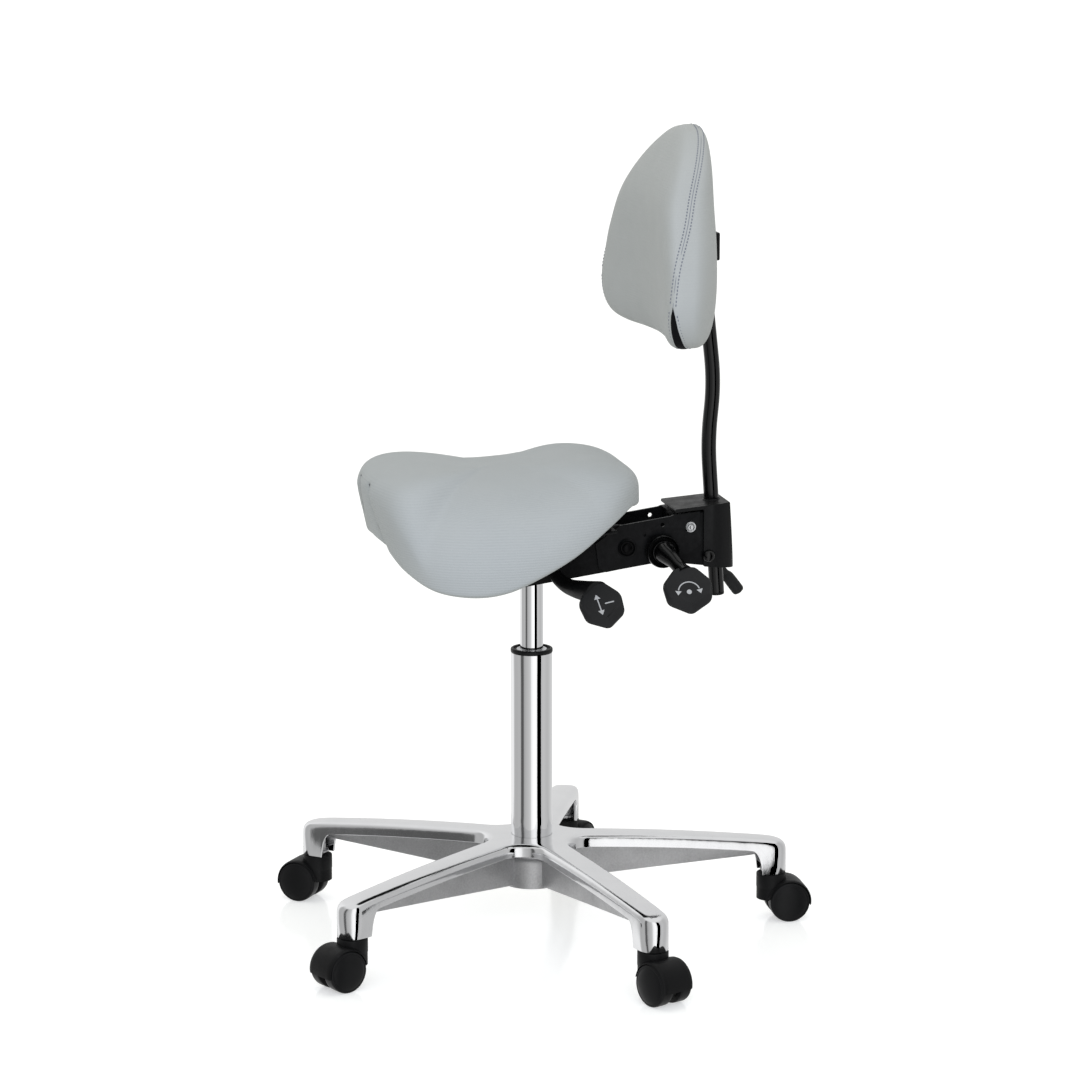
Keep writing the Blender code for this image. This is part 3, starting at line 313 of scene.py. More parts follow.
class Surface:
    """A Principled material and short ways to give it detail."""

    def __init__(self, name, color, metallic, roughness, **sockets):
        self.material = bpy.data.materials.new(name)
        self.material.use_nodes = True
        self.tree = self.material.node_tree
        self.shader = self.tree.nodes["Principled BSDF"]
        self.color = color
        self.roughness = roughness
        self.shader.inputs["Base Color"].default_value = (*color, 1.0)
        self.shader.inputs["Metallic"].default_value = metallic
        self.shader.inputs["Roughness"].default_value = roughness
        for key, value in sockets.items():
            self.shader.inputs[key.replace("_", " ")].default_value = value
        self.place = self.node("ShaderNodeTexCoord").outputs["Object"]
        self.last_bump = None

    def node(self, kind, **props):
        made = self.tree.nodes.new(kind)
        for key, value in props.items():
            setattr(made, key, value)
        return made

    def link(self, source, target):
        self.tree.links.new(source, target)

    def noise(self, scale, detail=3.0, rough=0.55, stretch=None):
        """Noise over the object's own space, in features per metre."""
        source = self.place
        if stretch:
            mapping = self.node("ShaderNodeMapping")
            mapping.inputs["Scale"].default_value = stretch
            self.link(source, mapping.inputs["Vector"])
            source = mapping.outputs["Vector"]
        made = self.node("ShaderNodeTexNoise")
        made.inputs["Scale"].default_value = scale
        made.inputs["Detail"].default_value = detail
        made.inputs["Roughness"].default_value = rough
        self.link(source, made.inputs["Vector"])
        return made.outputs["Fac"]

    def ramp(self, source, low, high, from_low=0.3, from_high=0.7):
        """Map a pattern onto a range of values."""
        made = self.node("ShaderNodeMapRange")
        made.inputs["From Min"].default_value = from_low
        made.inputs["From Max"].default_value = from_high
        made.inputs["To Min"].default_value = low
        made.inputs["To Max"].default_value = high
        self.link(source, made.inputs["Value"])
        return made.outputs["Result"]

    def math(self, operation, a, b):
        made = self.node("ShaderNodeMath", operation=operation)
        for value, target in ((a, made.inputs[0]), (b, made.inputs[1])):
            if isinstance(value, (int, float)):
                target.default_value = value
            else:
                self.link(value, target)
        return made.outputs[0]

    def tint(self, factor, other):
        """Blend the base colour towards another by a pattern."""
        made = self.node("ShaderNodeMix", data_type="RGBA")
        source = self.shader.inputs["Base Color"]
        if source.is_linked:
            self.link(source.links[0].from_socket, made.inputs["A"])
        else:
            made.inputs["A"].default_value = (*self.color, 1.0)
        made.inputs["B"].default_value = (*other, 1.0)
        self.link(factor, made.inputs["Factor"])
        self.link(made.outputs["Result"], source)

    def vary_roughness(self, factor, low, high):
        self.link(self.ramp(factor, low, high), self.shader.inputs["Roughness"])

    def bump(self, height, distance, strength=1.0):
        made = self.node("ShaderNodeBump")
        made.inputs["Distance"].default_value = distance
        made.inputs["Strength"].default_value = strength
        self.link(height, made.inputs["Height"])
        if self.last_bump:
            self.link(self.last_bump, made.inputs["Normal"])
        self.last_bump = made.outputs["Normal"]
        self.link(self.last_bump, self.shader.inputs["Normal"])

    def edges(self, color, low=0.52, high=0.60, amount=0.5):
        """Lighten the outer edges with a painted highlight, broken up by noise."""
        edge_highlight = self.ramp(self.node("ShaderNodeNewGeometry").outputs["Pointiness"], 0.0, amount,
                         low, high)
        self.tint(self.math("MULTIPLY", edge_highlight, self.noise(160.0)), color)


def polished_aluminium():
    made = Surface("polished_aluminium", (0.86, 0.865, 0.875), 1.0, 0.10)
    smear = made.noise(9.0, 4.0, 0.6, (1.0, 1.0, 3.0))
    made.vary_roughness(smear, 0.07, 0.17)
    made.tint(made.ramp(made.noise(26.0, 5.0), 0.0, 0.35), (0.74, 0.745, 0.76))
    made.bump(made.noise(38.0, 2.0), 0.0012, 0.22)
    made.bump(made.noise(1500.0, 2.0, 0.5, (1.0, 1.0, 0.2)), 0.00004, 0.5)
    return made.material


def cast_aluminium():
    made = Surface("cast_aluminium", (0.60, 0.605, 0.61), 1.0, 0.38)
    made.vary_roughness(made.noise(60.0), 0.36, 0.52)
    made.tint(made.ramp(made.noise(420.0, 5.0, 0.7), 0.0, 0.75), (0.38, 0.38, 0.39))
    made.tint(made.ramp(made.noise(22.0, 3.0), 0.0, 0.45), (0.62, 0.62, 0.63))
    made.bump(made.noise(900.0, 4.0, 0.7), 0.0003, 0.55)
    made.bump(made.noise(120.0, 3.0), 0.0006, 0.35)
    return made.material


def chrome():
    made = Surface("chrome", (0.90, 0.905, 0.915), 1.0, 0.045)
    made.vary_roughness(made.noise(18.0, 4.0, 0.6, (1.0, 1.0, 0.25)), 0.03, 0.075)
    made.bump(made.noise(14.0, 2.0, 0.5, (1.0, 1.0, 0.15)), 0.0008, 0.10)
    return made.material


def zinc_steel():
    made = Surface("zinc_steel", (0.70, 0.71, 0.72), 1.0, 0.30)
    made.vary_roughness(made.noise(260.0), 0.22, 0.40)
    made.tint(made.ramp(made.noise(190.0, 4.0), 0.0, 0.5), (0.50, 0.51, 0.54))
    made.bump(made.noise(1400.0, 2.0), 0.0001, 0.4)
    return made.material


def moulded_black(name, color, roughness, grain, depth):
    made = Surface(name, color, 0.0, roughness, Specular_IOR_Level=0.16)
    made.vary_roughness(made.noise(70.0, 4.0), roughness - 0.06, roughness + 0.08)
    made.tint(made.ramp(made.noise(30.0, 4.0), 0.0, 0.6), tuple(1.35 * c for c in color))
    made.bump(made.noise(grain, 3.0, 0.6), depth, 0.55)
    # lighter outer edges: painted edge highlight
    made.edges(tuple(0.02 + 2.0 * c for c in color))
    return made.material


def painted_black(name, color, roughness, grain, depth, shine=0.10):
    made = Surface(name, color, 0.0, roughness, Specular_IOR_Level=shine)
    made.vary_roughness(made.noise(45.0, 4.0), roughness - 0.08, roughness + 0.10)
    made.bump(made.noise(grain, 3.0, 0.6), depth, 0.5)
    # lighter outer edges: painted edge highlight
    made.edges((0.030, 0.030, 0.032), 0.53, 0.62, 0.5)
    return made.material


RIB_PITCH = 0.0030
THREAD_PITCH = 0.0011


def upholstery(name, color, dark, light, ribs=1.0):
    """Knitted cover: level ribs on the sides, ribs from front to back on top, soft nap."""
    nap = 0.12 if color[0] > 0.1 else 0.01
    made = Surface(name, color, 0.0, 0.62, Specular_IOR_Level=2.0 * nap, Sheen_Weight=nap,
                   Sheen_Roughness=0.45)
    axes = made.node("ShaderNodeSeparateXYZ")
    made.link(made.place, axes.inputs["Vector"])
    facing = made.node("ShaderNodeSeparateXYZ")
    made.link(made.node("ShaderNodeNewGeometry").outputs["Normal"], facing.inputs["Vector"])
    top = made.ramp(facing.outputs["Z"], 0.0, 1.0, 0.62, 0.90)
    side = made.ramp(facing.outputs["Z"], 1.0, 0.0, 0.62, 0.90)
    warp = made.math("MULTIPLY", made.ramp(made.noise(60.0, 2.0), -1.0, 1.0), 0.00018)

    def wave(axis, pitch):
        place = made.math("ADD", axes.outputs[axis], warp)
        return made.math("SINE", made.math("MULTIPLY", place, 2.0 * math.pi / pitch), 0.0)

    rib = made.math("ADD", made.math("MULTIPLY", wave("Z", RIB_PITCH), side),
                    made.math("MULTIPLY", wave("X", RIB_PITCH), top))
    thread = made.math("MULTIPLY", wave("Y", THREAD_PITCH),
                       made.math("ADD", made.math("MULTIPLY", wave("Z", THREAD_PITCH), side),
                                 made.math("MULTIPLY", wave("X", THREAD_PITCH), top)))
    made.tint(made.ramp(rib, 0.34 * ribs, 0.0, -1.0, 1.0), dark)
    made.tint(made.ramp(made.noise(7.0, 4.0, 0.6), 0.0, 0.5), light)
    made.tint(made.ramp(made.noise(2600.0, 2.0), 0.0, 0.20), dark)
    made.vary_roughness(made.noise(35.0, 4.0), 0.56, 0.70)
    made.bump(rib, 0.00010, 0.7 * ribs)
    made.bump(thread, 0.00006, 0.7)
    made.bump(made.noise(3200.0, 2.0), 0.00005, 0.5)
    made.bump(made.noise(30.0, 3.0), 0.0012, 0.10)
    return made.material


def plain_thread(name, color):
    made = Surface(name, color, 0.0, 0.7, Sheen_Weight=0.2)
    made.tint(made.ramp(made.noise(2200.0, 2.0), 0.0, 0.7), tuple(0.6 * c for c in color))
    made.bump(made.noise(2600.0, 2.0), 0.0001, 0.7)
    return made.material


def printed(name, color):
    made = Surface(name, color, 0.0, 0.5)
    made.tint(made.ramp(made.noise(900.0, 4.0, 0.7), 0.0, 0.5), tuple(0.55 * c for c in color))
    made.bump(made.noise(1800.0), 0.00003, 0.5)
    return made.material


ALUMINIUM = polished_aluminium()
CAST = cast_aluminium()
CHROME = chrome()
ZINC = zinc_steel()
BLACK = moulded_black("black_plastic", (0.0062, 0.0062, 0.0065), 0.40, 1500.0, 0.00009)
HOOD = moulded_black("hood_plastic", (0.0050, 0.0050, 0.0053), 0.45, 2300.0, 0.00012)
WHEEL = moulded_black("wheel_plastic", (0.0070, 0.0070, 0.0074), 0.38, 1900.0, 0.00006)
RUBBER = moulded_black("grip_rubber", (0.017, 0.017, 0.0175), 0.52, 1100.0, 0.00010)
STEEL = painted_black("black_steel", (0.0014, 0.0014, 0.0016), 0.34, 520.0, 0.00010)
TUBE = painted_black("black_tube", (0.0012, 0.0012, 0.0014), 0.16, 300.0, 0.00004, 0.42)
FABRIC = upholstery("grey_cover", (0.455, 0.478, 0.492), (0.360, 0.378, 0.392),
                    (0.484, 0.500, 0.506))
BACK_FABRIC = upholstery("grey_back_cover", (0.452, 0.466, 0.468), (0.357, 0.370, 0.374),
                         (0.478, 0.490, 0.492), 0.35)
INSERT = upholstery("black_insert", (0.007, 0.007, 0.008), (0.002, 0.002, 0.002),
                    (0.014, 0.014, 0.015))
THREAD = plain_thread("seam_thread", (0.20, 0.215, 0.27))
# painted shade for the valley along the nose seam
SEAM_SHADOW = plain_thread("seam_shadow", (0.085, 0.092, 0.105))
PRINT = printed("grey_print", (0.52, 0.52, 0.53))
SLOT = {"aluminium": "polished_aluminium", "chrome": "chrome", "zinc": "zinc_steel",
        "black": "black_plastic", "steel": "black_steel", "tube": "black_tube",
        "fabric": "grey_upholstery"}

# ------------------------------------------------------------------ studio

SIDE_ON_DEG = 12.0            # how far the camera stands off the stool's straight side
LENS_MM = 125.4
CAMERA_FAR = 200.0            # the camera has to see past the mirrored dome
STUDIO_AIM = (0.0, 0.0, 0.55)
FLOOR_HALF = 60.0
FLOOR_GLOW = 0.47
DOME_R = 120.0
DOME_TOP_DEG = 89.9
camera_right = Vector((math.sin(math.radians(SIDE_ON_DEG)),
                       math.cos(math.radians(SIDE_ON_DEG)), 0.0))
camera_depth = Vector((-math.cos(math.radians(SIDE_ON_DEG)),
                       math.sin(math.radians(SIDE_ON_DEG)), 0.0))
CAMERA_PLACE = Vector((4.337, -0.9452, 1.389))
CAMERA_PITCH = math.radians(11.4559)
CAMERA_YAW = math.radians(0.1303)


def add_camera():
    data = bpy.data.cameras.new("camera")
    data.lens = LENS_MM
    data.sensor_width = 36.0
    data.clip_end = CAMERA_FAR
    camera = bpy.data.objects.new("camera", data)
    level = camera_right * math.sin(CAMERA_YAW) + camera_depth * math.cos(CAMERA_YAW)
    look = level * math.cos(CAMERA_PITCH) - Vector((0.0, 0.0, math.sin(CAMERA_PITCH)))
    camera.location = CAMERA_PLACE
    camera.rotation_euler = look.to_track_quat("-Z", "Y").to_euler()
    bpy.context.scene.collection.objects.link(camera)
    bpy.context.scene.camera = camera


def add_light(name, place, size, power, color):
    """Soft light that points at the stool and shows in no reflection."""
    data = bpy.data.lights.new(name, "AREA")
    data.shape = "RECTANGLE"
    data.size, data.size_y = size
    data.energy = power
    data.color = color
    light = bpy.data.objects.new(name, data)
    light.location = place
    light.rotation_euler = (Vector(STUDIO_AIM) - Vector(place)).to_track_quat("-Z", "Y").to_euler()
    light.visible_camera = False
    light.visible_glossy = False
    bpy.context.scene.collection.objects.link(light)


def add_floor():
    bm = bmesh.new()
    bmesh.ops.create_grid(bm, x_segments=8, y_segments=8, size=FLOOR_HALF)
    mesh = bpy.data.meshes.new("floor")
    bm.to_mesh(mesh)
    bm.free()
    floor = bpy.data.objects.new("floor", mesh)
    bpy.context.scene.collection.objects.link(floor)
    made = Surface("studio_floor", (0.90, 0.90, 0.90), 0.0, 0.13, Specular_IOR_Level=0.9)
    made.shader.inputs["Emission Color"].default_value = (1.0, 1.0, 1.0, 1.0)
    made.shader.inputs["Emission Strength"].default_value = FLOOR_GLOW
    made.vary_roughness(made.noise(2.0), 0.10, 0.18)
    mesh.materials.append(made.material)
    floor.visible_glossy = False
    floor.visible_diffuse = False


# Turn in degrees from the camera's direction, positive to its right, and brightness there.
MIRRORED = ((-180, 0.74), (-150, 0.86), (-125, 0.92), (-112, 0.52), (-95, 0.47), (-64, 0.44),
            (-61, 0.15), (-46, 0.15), (-43, 0.38), (-6, 0.66), (-1, 0.97), (29, 1.00),
            (32, 0.012), (52, 0.012), (55, 0.50), (100, 0.52), (150, 0.70), (180, 0.74))


def reflected(turn_deg, height_deg):
    """What polished metal sees: brightness by direction, from the camera's side round."""
    level = table_value(MIRRORED, (turn_deg + 180.0) % 360.0 - 180.0)
    return level + (0.80 - level) * ease(38.0, 60.0, height_deg)


def add_reflections():
    """Soft boxes and black flags that only show in polished surfaces."""
    facing = math.degrees(math.atan2(-camera_depth.y, -camera_depth.x))
    bm = bmesh.new()
    glow = bm.faces.layers.float.new("glow")
    turns, levels = 180, 60
    rows = []
    for j in range(levels + 1):
        height = math.radians(-DOME_TOP_DEG + 2.0 * DOME_TOP_DEG * j / levels)
        rows.append([bm.verts.new((p.x, p.y, DOME_R * math.sin(height)))
                     for p in circle(DOME_R * math.cos(height), turns)])
    for j in range(levels):
        for i in range(turns):
            k = (i + 1) % turns
            face = bm.faces.new((rows[j][i], rows[j][k], rows[j + 1][k], rows[j + 1][i]))
            face[glow] = reflected(360.0 * (i + 0.5) / turns - facing,
                                   -DOME_TOP_DEG + 2.0 * DOME_TOP_DEG * (j + 0.5) / levels)
    mesh = bpy.data.meshes.new("reflections")
    bm.to_mesh(mesh)
    bm.free()
    dome = bpy.data.objects.new("reflections", mesh)
    bpy.context.scene.collection.objects.link(dome)
    material = bpy.data.materials.new("reflections")
    material.use_nodes = True
    tree = material.node_tree
    tree.nodes.clear()
    value = tree.nodes.new("ShaderNodeAttribute")
    value.attribute_name = "glow"
    emission = tree.nodes.new("ShaderNodeEmission")
    output = tree.nodes.new("ShaderNodeOutputMaterial")
    tree.links.new(value.outputs["Fac"], emission.inputs["Strength"])
    tree.links.new(emission.outputs["Emission"], output.inputs["Surface"])
    material.cycles.emission_sampling = "NONE"
    mesh.materials.append(material)
    dome.visible_camera = False
    dome.visible_diffuse = False
    dome.visible_shadow = False
    dome.visible_transmission = False


def add_studio():
    scene = bpy.context.scene
    scene.view_settings.view_transform = "Standard"
    scene.view_settings.look = "None"
    world = bpy.data.worlds.new("world")
    world.use_nodes = True
    background = world.node_tree.nodes["Background"]
    background.inputs["Color"].default_value = (0.985, 1.0, 0.935, 1.0)
    background.inputs["Strength"].default_value = 0.63
    scene.world = world
    beside_camera = -camera_depth * 3.2 + Vector((0.0, 0.0, 1.6))
    add_light("key", beside_camera, (2.6, 2.2), 50.0, (0.90, 0.97, 1.15))
    add_light("top", (0.3, -0.1, 3.0), (1.6, 1.6), 10.0, (1.02, 1.0, 0.94))
    add_camera()
    add_floor()
    add_reflections()


add_studio()

# ------------------------------------------------------------------ base and column

ARMS = 5
FIRST_ARM_DEG = 87.76
STEM_OUT = 0.301              # caster stems stand this far from the column's axis
TIP_HALF = 0.018              # half width of an arm at its stem
HUB_HALF = 0.0205             # half width of an arm at the hub
HUB_EDGE = 0.0695             # the arms begin here
SKIRT_START = 0.2735          # the wall turns down round the stem from here
BORE_R = 0.0249
WEB_FILLET = 0.030
SKIRT_BOTTOM = 0.0605
TIP_POINTS = 15               # points round an arm's end
ARM_TOP = ((0.0, 0.1243), (0.050, 0.1240), (0.120, 0.1205), (0.200, 0.1145), (0.280, 0.1065),
           (0.301, 0.1036), (0.325, 0.0985))
ARM_PLACES = (HUB_EDGE, 0.085, 0.105, 0.13, 0.16, 0.19, 0.22, 0.245, 0.260, 0.268, SKIRT_START,
              0.2775, 0.2805, 0.283, 0.285, 0.2865, 0.2885, 0.294, 0.301)


def star_ring(depth, height_at):
    """Outline of the star moved inwards by depth. height_at takes the distance out."""
    half_turn = math.pi / ARMS
    fillet = WEB_FILLET + depth
    tip = TIP_HALF - depth
    hub = HUB_HALF - depth
    points = []
    for index in range(ARMS):
        turn = math.radians(FIRST_ARM_DEG) + 2.0 * half_turn * index
        along = Vector((math.cos(turn), math.sin(turn)))
        side = Vector((-along.y, along.x))
        centre = (hub + fillet) / math.sin(half_turn)
        widths = [hub + (tip - hub) * (p - ARM_PLACES[0]) / (STEM_OUT - ARM_PLACES[0])
                  for p in ARM_PLACES]
        edge = list(zip(ARM_PLACES, widths))
        points += [along * p - side * w for p, w in edge]
        for k in range(1, TIP_POINTS + 1):
            bend = math.pi * (k / 16.0 - 0.5)
            points.append(along * (STEM_OUT + tip * math.cos(bend))
                          + side * tip * math.sin(bend))
        points += [along * p + side * w for p, w in reversed(edge)]
        middle = Matrix.Rotation(half_turn, 2) @ along
        inward = Matrix.Rotation(half_turn, 2) @ side
        reach = math.pi / 2.0 - half_turn
        for k in range(1, 12):
            bend = reach * (1.0 - k / 6.0)
            points.append(middle * (centre - fillet * math.cos(bend))
                          - inward * fillet * math.sin(bend))
    return [Vector((p.x, p.y, height_at(p.length))) for p in points]


def arm_top(distance):
    return table_value(ARM_TOP, distance)


def lip_bottom(distance):
    """Lower edge of an arm's wall: level with the top, then down round the stem."""
    level = arm_top(distance) - 0.0150
    t = min(1.0, max(0.0, (distance - SKIRT_START) / 0.0130))
    if distance < HUB_EDGE:
        return level
    return level + (SKIRT_BOTTOM - level) * (1.0 - math.sqrt(1.0 - t * t))


def star_shell():
    """Polished skin of the star: rounded top edges, walls, and a hollow underside."""
    edge = ((0.0085, 0.0), (0.0068, 0.00025), (0.0050, 0.0009), (0.0033, 0.0020),
            (0.0019, 0.0036), (0.0009, 0.0056), (0.0004, 0.0078), (0.0002, 0.0100))
    rings = [star_ring(depth, lambda d, low=drop: arm_top(d) - low) for depth, drop in edge]
    rings.append(star_ring(0.0, lambda d: max(lip_bottom(d), arm_top(d) - 0.0145) + 0.0006))
    rings.append(star_ring(0.0, lambda d: lip_bottom(d) + 0.0008))
    rings.append(star_ring(0.0008, lip_bottom))
    rings.append(star_ring(0.0030, lip_bottom))
    rings.append(star_ring(0.0038, lambda d: lip_bottom(d) + 0.0010))
    rings.append(star_ring(0.0042, lambda d: arm_top(d) - 0.0065))
    bm = loft(rings, caps=False)
    skin = list(bm.verts)
    count = len(rings[0])
    per_arm = count // ARMS
    places = len(ARM_PLACES)
    crown = 0.0006
    ring_in = []
    for index in range(ARMS):
        start = index * per_arm
        turn = math.radians(FIRST_ARM_DEG + 360.0 * index / ARMS)
        along = Vector((math.cos(turn), math.sin(turn)))
        right = skin[start:start + places]
        arc = skin[start + places:start + places + TIP_POINTS]
        left = skin[start + places + TIP_POINTS:start + 2 * places + TIP_POINTS][::-1]
        middle = [bm.verts.new((along.x * p, along.y * p,
                                arm_top(p) + crown * ease(0.06, 0.10, p)))
                  for p in ARM_PLACES]
        for k in range(places - 1):
            bm.faces.new((right[k], right[k + 1], middle[k + 1], middle[k]))
            bm.faces.new((middle[k], middle[k + 1], left[k + 1], left[k]))
        fan = [right[-1]] + arc + [left[-1]]
        for a, b in zip(fan, fan[1:]):
            bm.faces.new((middle[-1], a, b))
        web = skin[start + 2 * places + TIP_POINTS:start + per_arm]
        ring_in += [right[0], middle[0], left[0]] + web
    inner = []
    for vert in ring_in:
        flat = Vector((vert.co.x, vert.co.y, 0.0)).normalized() * BORE_R
        inner.append(bm.verts.new((flat.x, flat.y, arm_top(BORE_R))))
    outer = ring_in
    for share in (0.66, 0.33):
        row = [bm.verts.new(i.co.lerp(o.co, share)) for i, o in zip(inner, ring_in)]
        for vert in row:
            vert.co.z = arm_top(Vector((vert.co.x, vert.co.y)).length)
        for k, _ in enumerate(row):
            m = (k + 1) % len(row)
            bm.faces.new((outer[k], outer[m], row[m], row[k]))
        outer = row
    for k, _ in enumerate(inner):
        m = (k + 1) % len(inner)
        bm.faces.new((outer[k], outer[m], inner[m], inner[k]))
    low = [bm.verts.new((v.co.x, v.co.y, 0.114)) for v in inner]
    for k, _ in enumerate(inner):
        m = (k + 1) % len(inner)
        bm.faces.new((inner[k], inner[m], low[m], low[k]))
    ceiling = skin[-count:]
    bmesh.ops.triangle_fill(bm, use_beauty=True, edges=[
        bm.edges.get((ring[k - 1], ring[k])) for ring in (ceiling, low)
        for k in range(len(ring))])
    bmesh.ops.recalc_face_normals(bm, faces=bm.faces)
    return bm


def rounded_bar(stations, half_top, half_low, corner=0.0016):
    """Rib along +X through stations (place, low, high), its lower edges rounded."""
    rings = []
    for place, low, high in stations:
        across = [(half_top, high), (half_low + 0.0004, low + corner),
                  (half_low - corner * 0.3, low + corner * 0.3), (half_low - corner, low)]
        across += [(-x, z) for x, z in reversed(across)]
        rings.append([Vector((place, x, z)) for x, z in across])
    return loft(rings)


def cast_parts():
    """Unpolished castings below the star: hub, ribs and stem bosses."""
    hub = lathe(((0.0236, 0.0630), (0.0354, 0.0630), (0.0366, 0.0636), (0.0370, 0.0648),
                 (0.0368, 0.0950), (0.0364, 0.0978), (0.0352, 0.0992), (0.0334, 0.1000),
                 (0.0328, 0.1015), (0.0328, 0.1180), (0.0236, 0.1180)), 96, loop=True)
    parts = [hub]
    for index in range(ARMS):
        arm = Matrix.Rotation(math.radians(FIRST_ARM_DEG + 360.0 * index / ARMS), 4, "Z")
        stations = [(0.0250, 0.0648, 0.116), (0.034, 0.0655, 0.116), (0.060, 0.0675, 0.115),
                    (0.150, 0.0745, 0.110), (0.230, 0.0802, 0.104), (0.2720, 0.0832, 0.099),
                    (0.2860, 0.0850, 0.098)]
        parts.append(moved(rounded_bar(stations, 0.0058, 0.0044, 0.0012), arm))
        boss = lathe(((0.0058, 0.0612), (0.0100, 0.0612), (0.0105, 0.0617), (0.0105, 0.0960),
                      (0.0058, 0.0960)), 40, loop=True)
        parts.append(moved(boss, Matrix.Translation((STEM_OUT, 0.0, 0.0)), arm))
        floor_ring = lathe(((0.0100, 0.0640), (0.0142, 0.0640), (0.0142, 0.0656),
                            (0.0100, 0.0656)), 40, loop=True)
        parts.append(moved(floor_ring, Matrix.Translation((STEM_OUT, 0.0, 0.0)), arm))
    return merge(*parts)


piece("star_skin", star_shell(), ALUMINIUM, "base", SLOT["aluminium"], ("star_base",),
      sharp_deg=50.0)
piece("star_castings", cast_parts(), CAST, "base", SLOT["aluminium"], sharp_deg=40.0)

BODY_OF = {node: body for body, nodes in frame["record"]["behaviour"]["bodies"].items()
           for node in nodes}
column = lathe(((0.0210, 0.0662), (0.0226, 0.0662), (0.0230, 0.0666), (0.0246, 0.1260),
                (0.0251, 0.1330), (0.0255, 0.1390), (0.0256, 0.1430), (0.0254, 0.1465),
                (0.0250, 0.1500), (0.0250, 0.2000), (0.0250, 0.2600), (0.0250, 0.3200),
                (0.0250, 0.3514), (0.0249, 0.3518), (0.0246, 0.3520), (0.0236, 0.3520),
                (0.0236, 0.3400), (0.0210, 0.0700)), 128, loop=True)


def stand_in(name, bm, material, slot, node, **options):
    """A piece that shows one CAD node and rides where it does."""
    return piece(name, bm, material, BODY_OF[node], slot, (node,), **options)


stand_in("column_skin", column, CHROME, SLOT["chrome"], "column_tube")
collar = lathe(((0.0185, 0.3524), (0.0253, 0.3524), (0.0255, 0.3527), (0.0255, 0.3556),
                (0.0252, 0.3564), (0.0245, 0.3569), (0.0232, 0.3570), (0.0222, 0.3566),
                (0.0218, 0.3552), (0.0200, 0.3548), (0.0185, 0.3548)), 96, loop=True)
stand_in("collar_ring", collar, BLACK, SLOT["black"], "column_collar")
annulus = lathe(((0.0144, 0.3526), (0.0184, 0.3526), (0.0184, 0.3556), (0.0180, 0.3560),
                 (0.0156, 0.3562), (0.0152, 0.3568), (0.0144, 0.3568)), 96, loop=True)
piece("collar_insert", annulus, ZINC, BODY_OF["column_collar"], SLOT["zinc"])
bush = lathe(((0.0143, 0.2622), (0.0232, 0.2622), (0.0232, 0.3518), (0.0143, 0.3518)), 64,
             loop=True)
stand_in("bush_ring", bush, BLACK, SLOT["black"], "guide_bush")
cylinder = lathe(((0.0055, 0.1552), (0.0136, 0.1552), (0.0140, 0.1556), (0.0140, 0.2400),
                  (0.0140, 0.3300), (0.0140, 0.4306), (0.0130, 0.4694), (0.0126, 0.4698),
                  (0.0045, 0.4698), (0.0045, 0.1600), (0.0055, 0.1600)), 96, loop=True)
stand_in("cylinder_skin", cylinder, CHROME, SLOT["chrome"], "gas_cylinder")

SOCKET_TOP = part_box("gas_socket")[1].z
cone = lathe(((0.0150, 0.4460), (0.0176, 0.4460), (0.0182, 0.4466),
              (0.0196, SOCKET_TOP - 0.0010), (0.0190, SOCKET_TOP - 0.0004),
              (0.0150, SOCKET_TOP - 0.0004)), 72, loop=True)
stand_in("socket_cone", cone, STEEL, SLOT["steel"], "gas_socket")

# ------------------------------------------------------------------ casters

TRAIL = 0.020
WHEEL_R = 0.025


def caster_hood():
    """Neck, hood and web, stem axis at the origin and trail along +X."""
    axle = Matrix.Translation((TRAIL, 0.0, WHEEL_R))
    half, big = 0.0235, 0.0277
    profile = [(0.0, -half), (big - 0.0062, -half), (big - 0.0034, -half + 0.0006),
               (big - 0.0014, -half + 0.0022), (big - 0.0003, -half + 0.0048),
               (big, -half + 0.0085)]
    profile += [(r, -y) for r, y in reversed(profile)]
    body = moved(lathe(profile, 96, axis="Y"), axle)
    low = ((-0.03, -0.02), (0.07, -0.02), (0.07, 0.019), (0.0465, 0.0205),
           (0.0385, 0.0222), (0.020, 0.0300), (-0.03, 0.0300))
    cut_low = loft([[Vector((p.x, y, p.y)) for p in rounded(low, 0.004)]
                    for y in (-0.04, 0.04)])
    neck = lathe(((0.0, 0.0270), (0.0179, 0.0270), (0.0179, 0.0540), (0.0, 0.0540)), 72)
    steps = [("DIFFERENCE", cut_low), ("UNION", neck)]
    for side in (1.0, -1.0):
        near, far = sorted((0.0048 * side, 0.035 * side))
        well = lathe(((0.0, near), (0.0259, near), (0.0259, far), (0.0, far)), 96, axis="Y")
        steps.append(("DIFFERENCE", moved(well, axle)))
    web = lathe(((0.0, -0.0047), (0.0195, -0.0047), (0.0195, 0.0047), (0.0, 0.0047)), 64,
                axis="Y")
    steps.append(("UNION", moved(web, axle)))
    return combined(body, *steps)


def caster_wheel(side):
    profile = [(0.0, 0.0060), (0.0235, 0.0060), (0.0245, 0.0063), (0.0249, 0.0072),
               (0.0250, 0.0095), (0.0250, 0.0185), (0.0249, 0.0200), (0.0245, 0.0211),
               (0.0238, 0.0218), (0.0228, 0.0222), (0.0222, 0.0223), (0.0219, 0.0221),
               (0.0215, 0.0222), (0.0205, 0.0228), (0.0170, 0.0240), (0.0120, 0.0251),
               (0.0060, 0.0258), (0.0, 0.0260)]
    bm = lathe(profile, 96, axis="Y")
    if side < 0:
        bm.transform(Matrix.Rotation(math.pi, 4, "Z"))
    return moved(bm, Matrix.Translation((TRAIL, 0.0, WHEEL_R)))


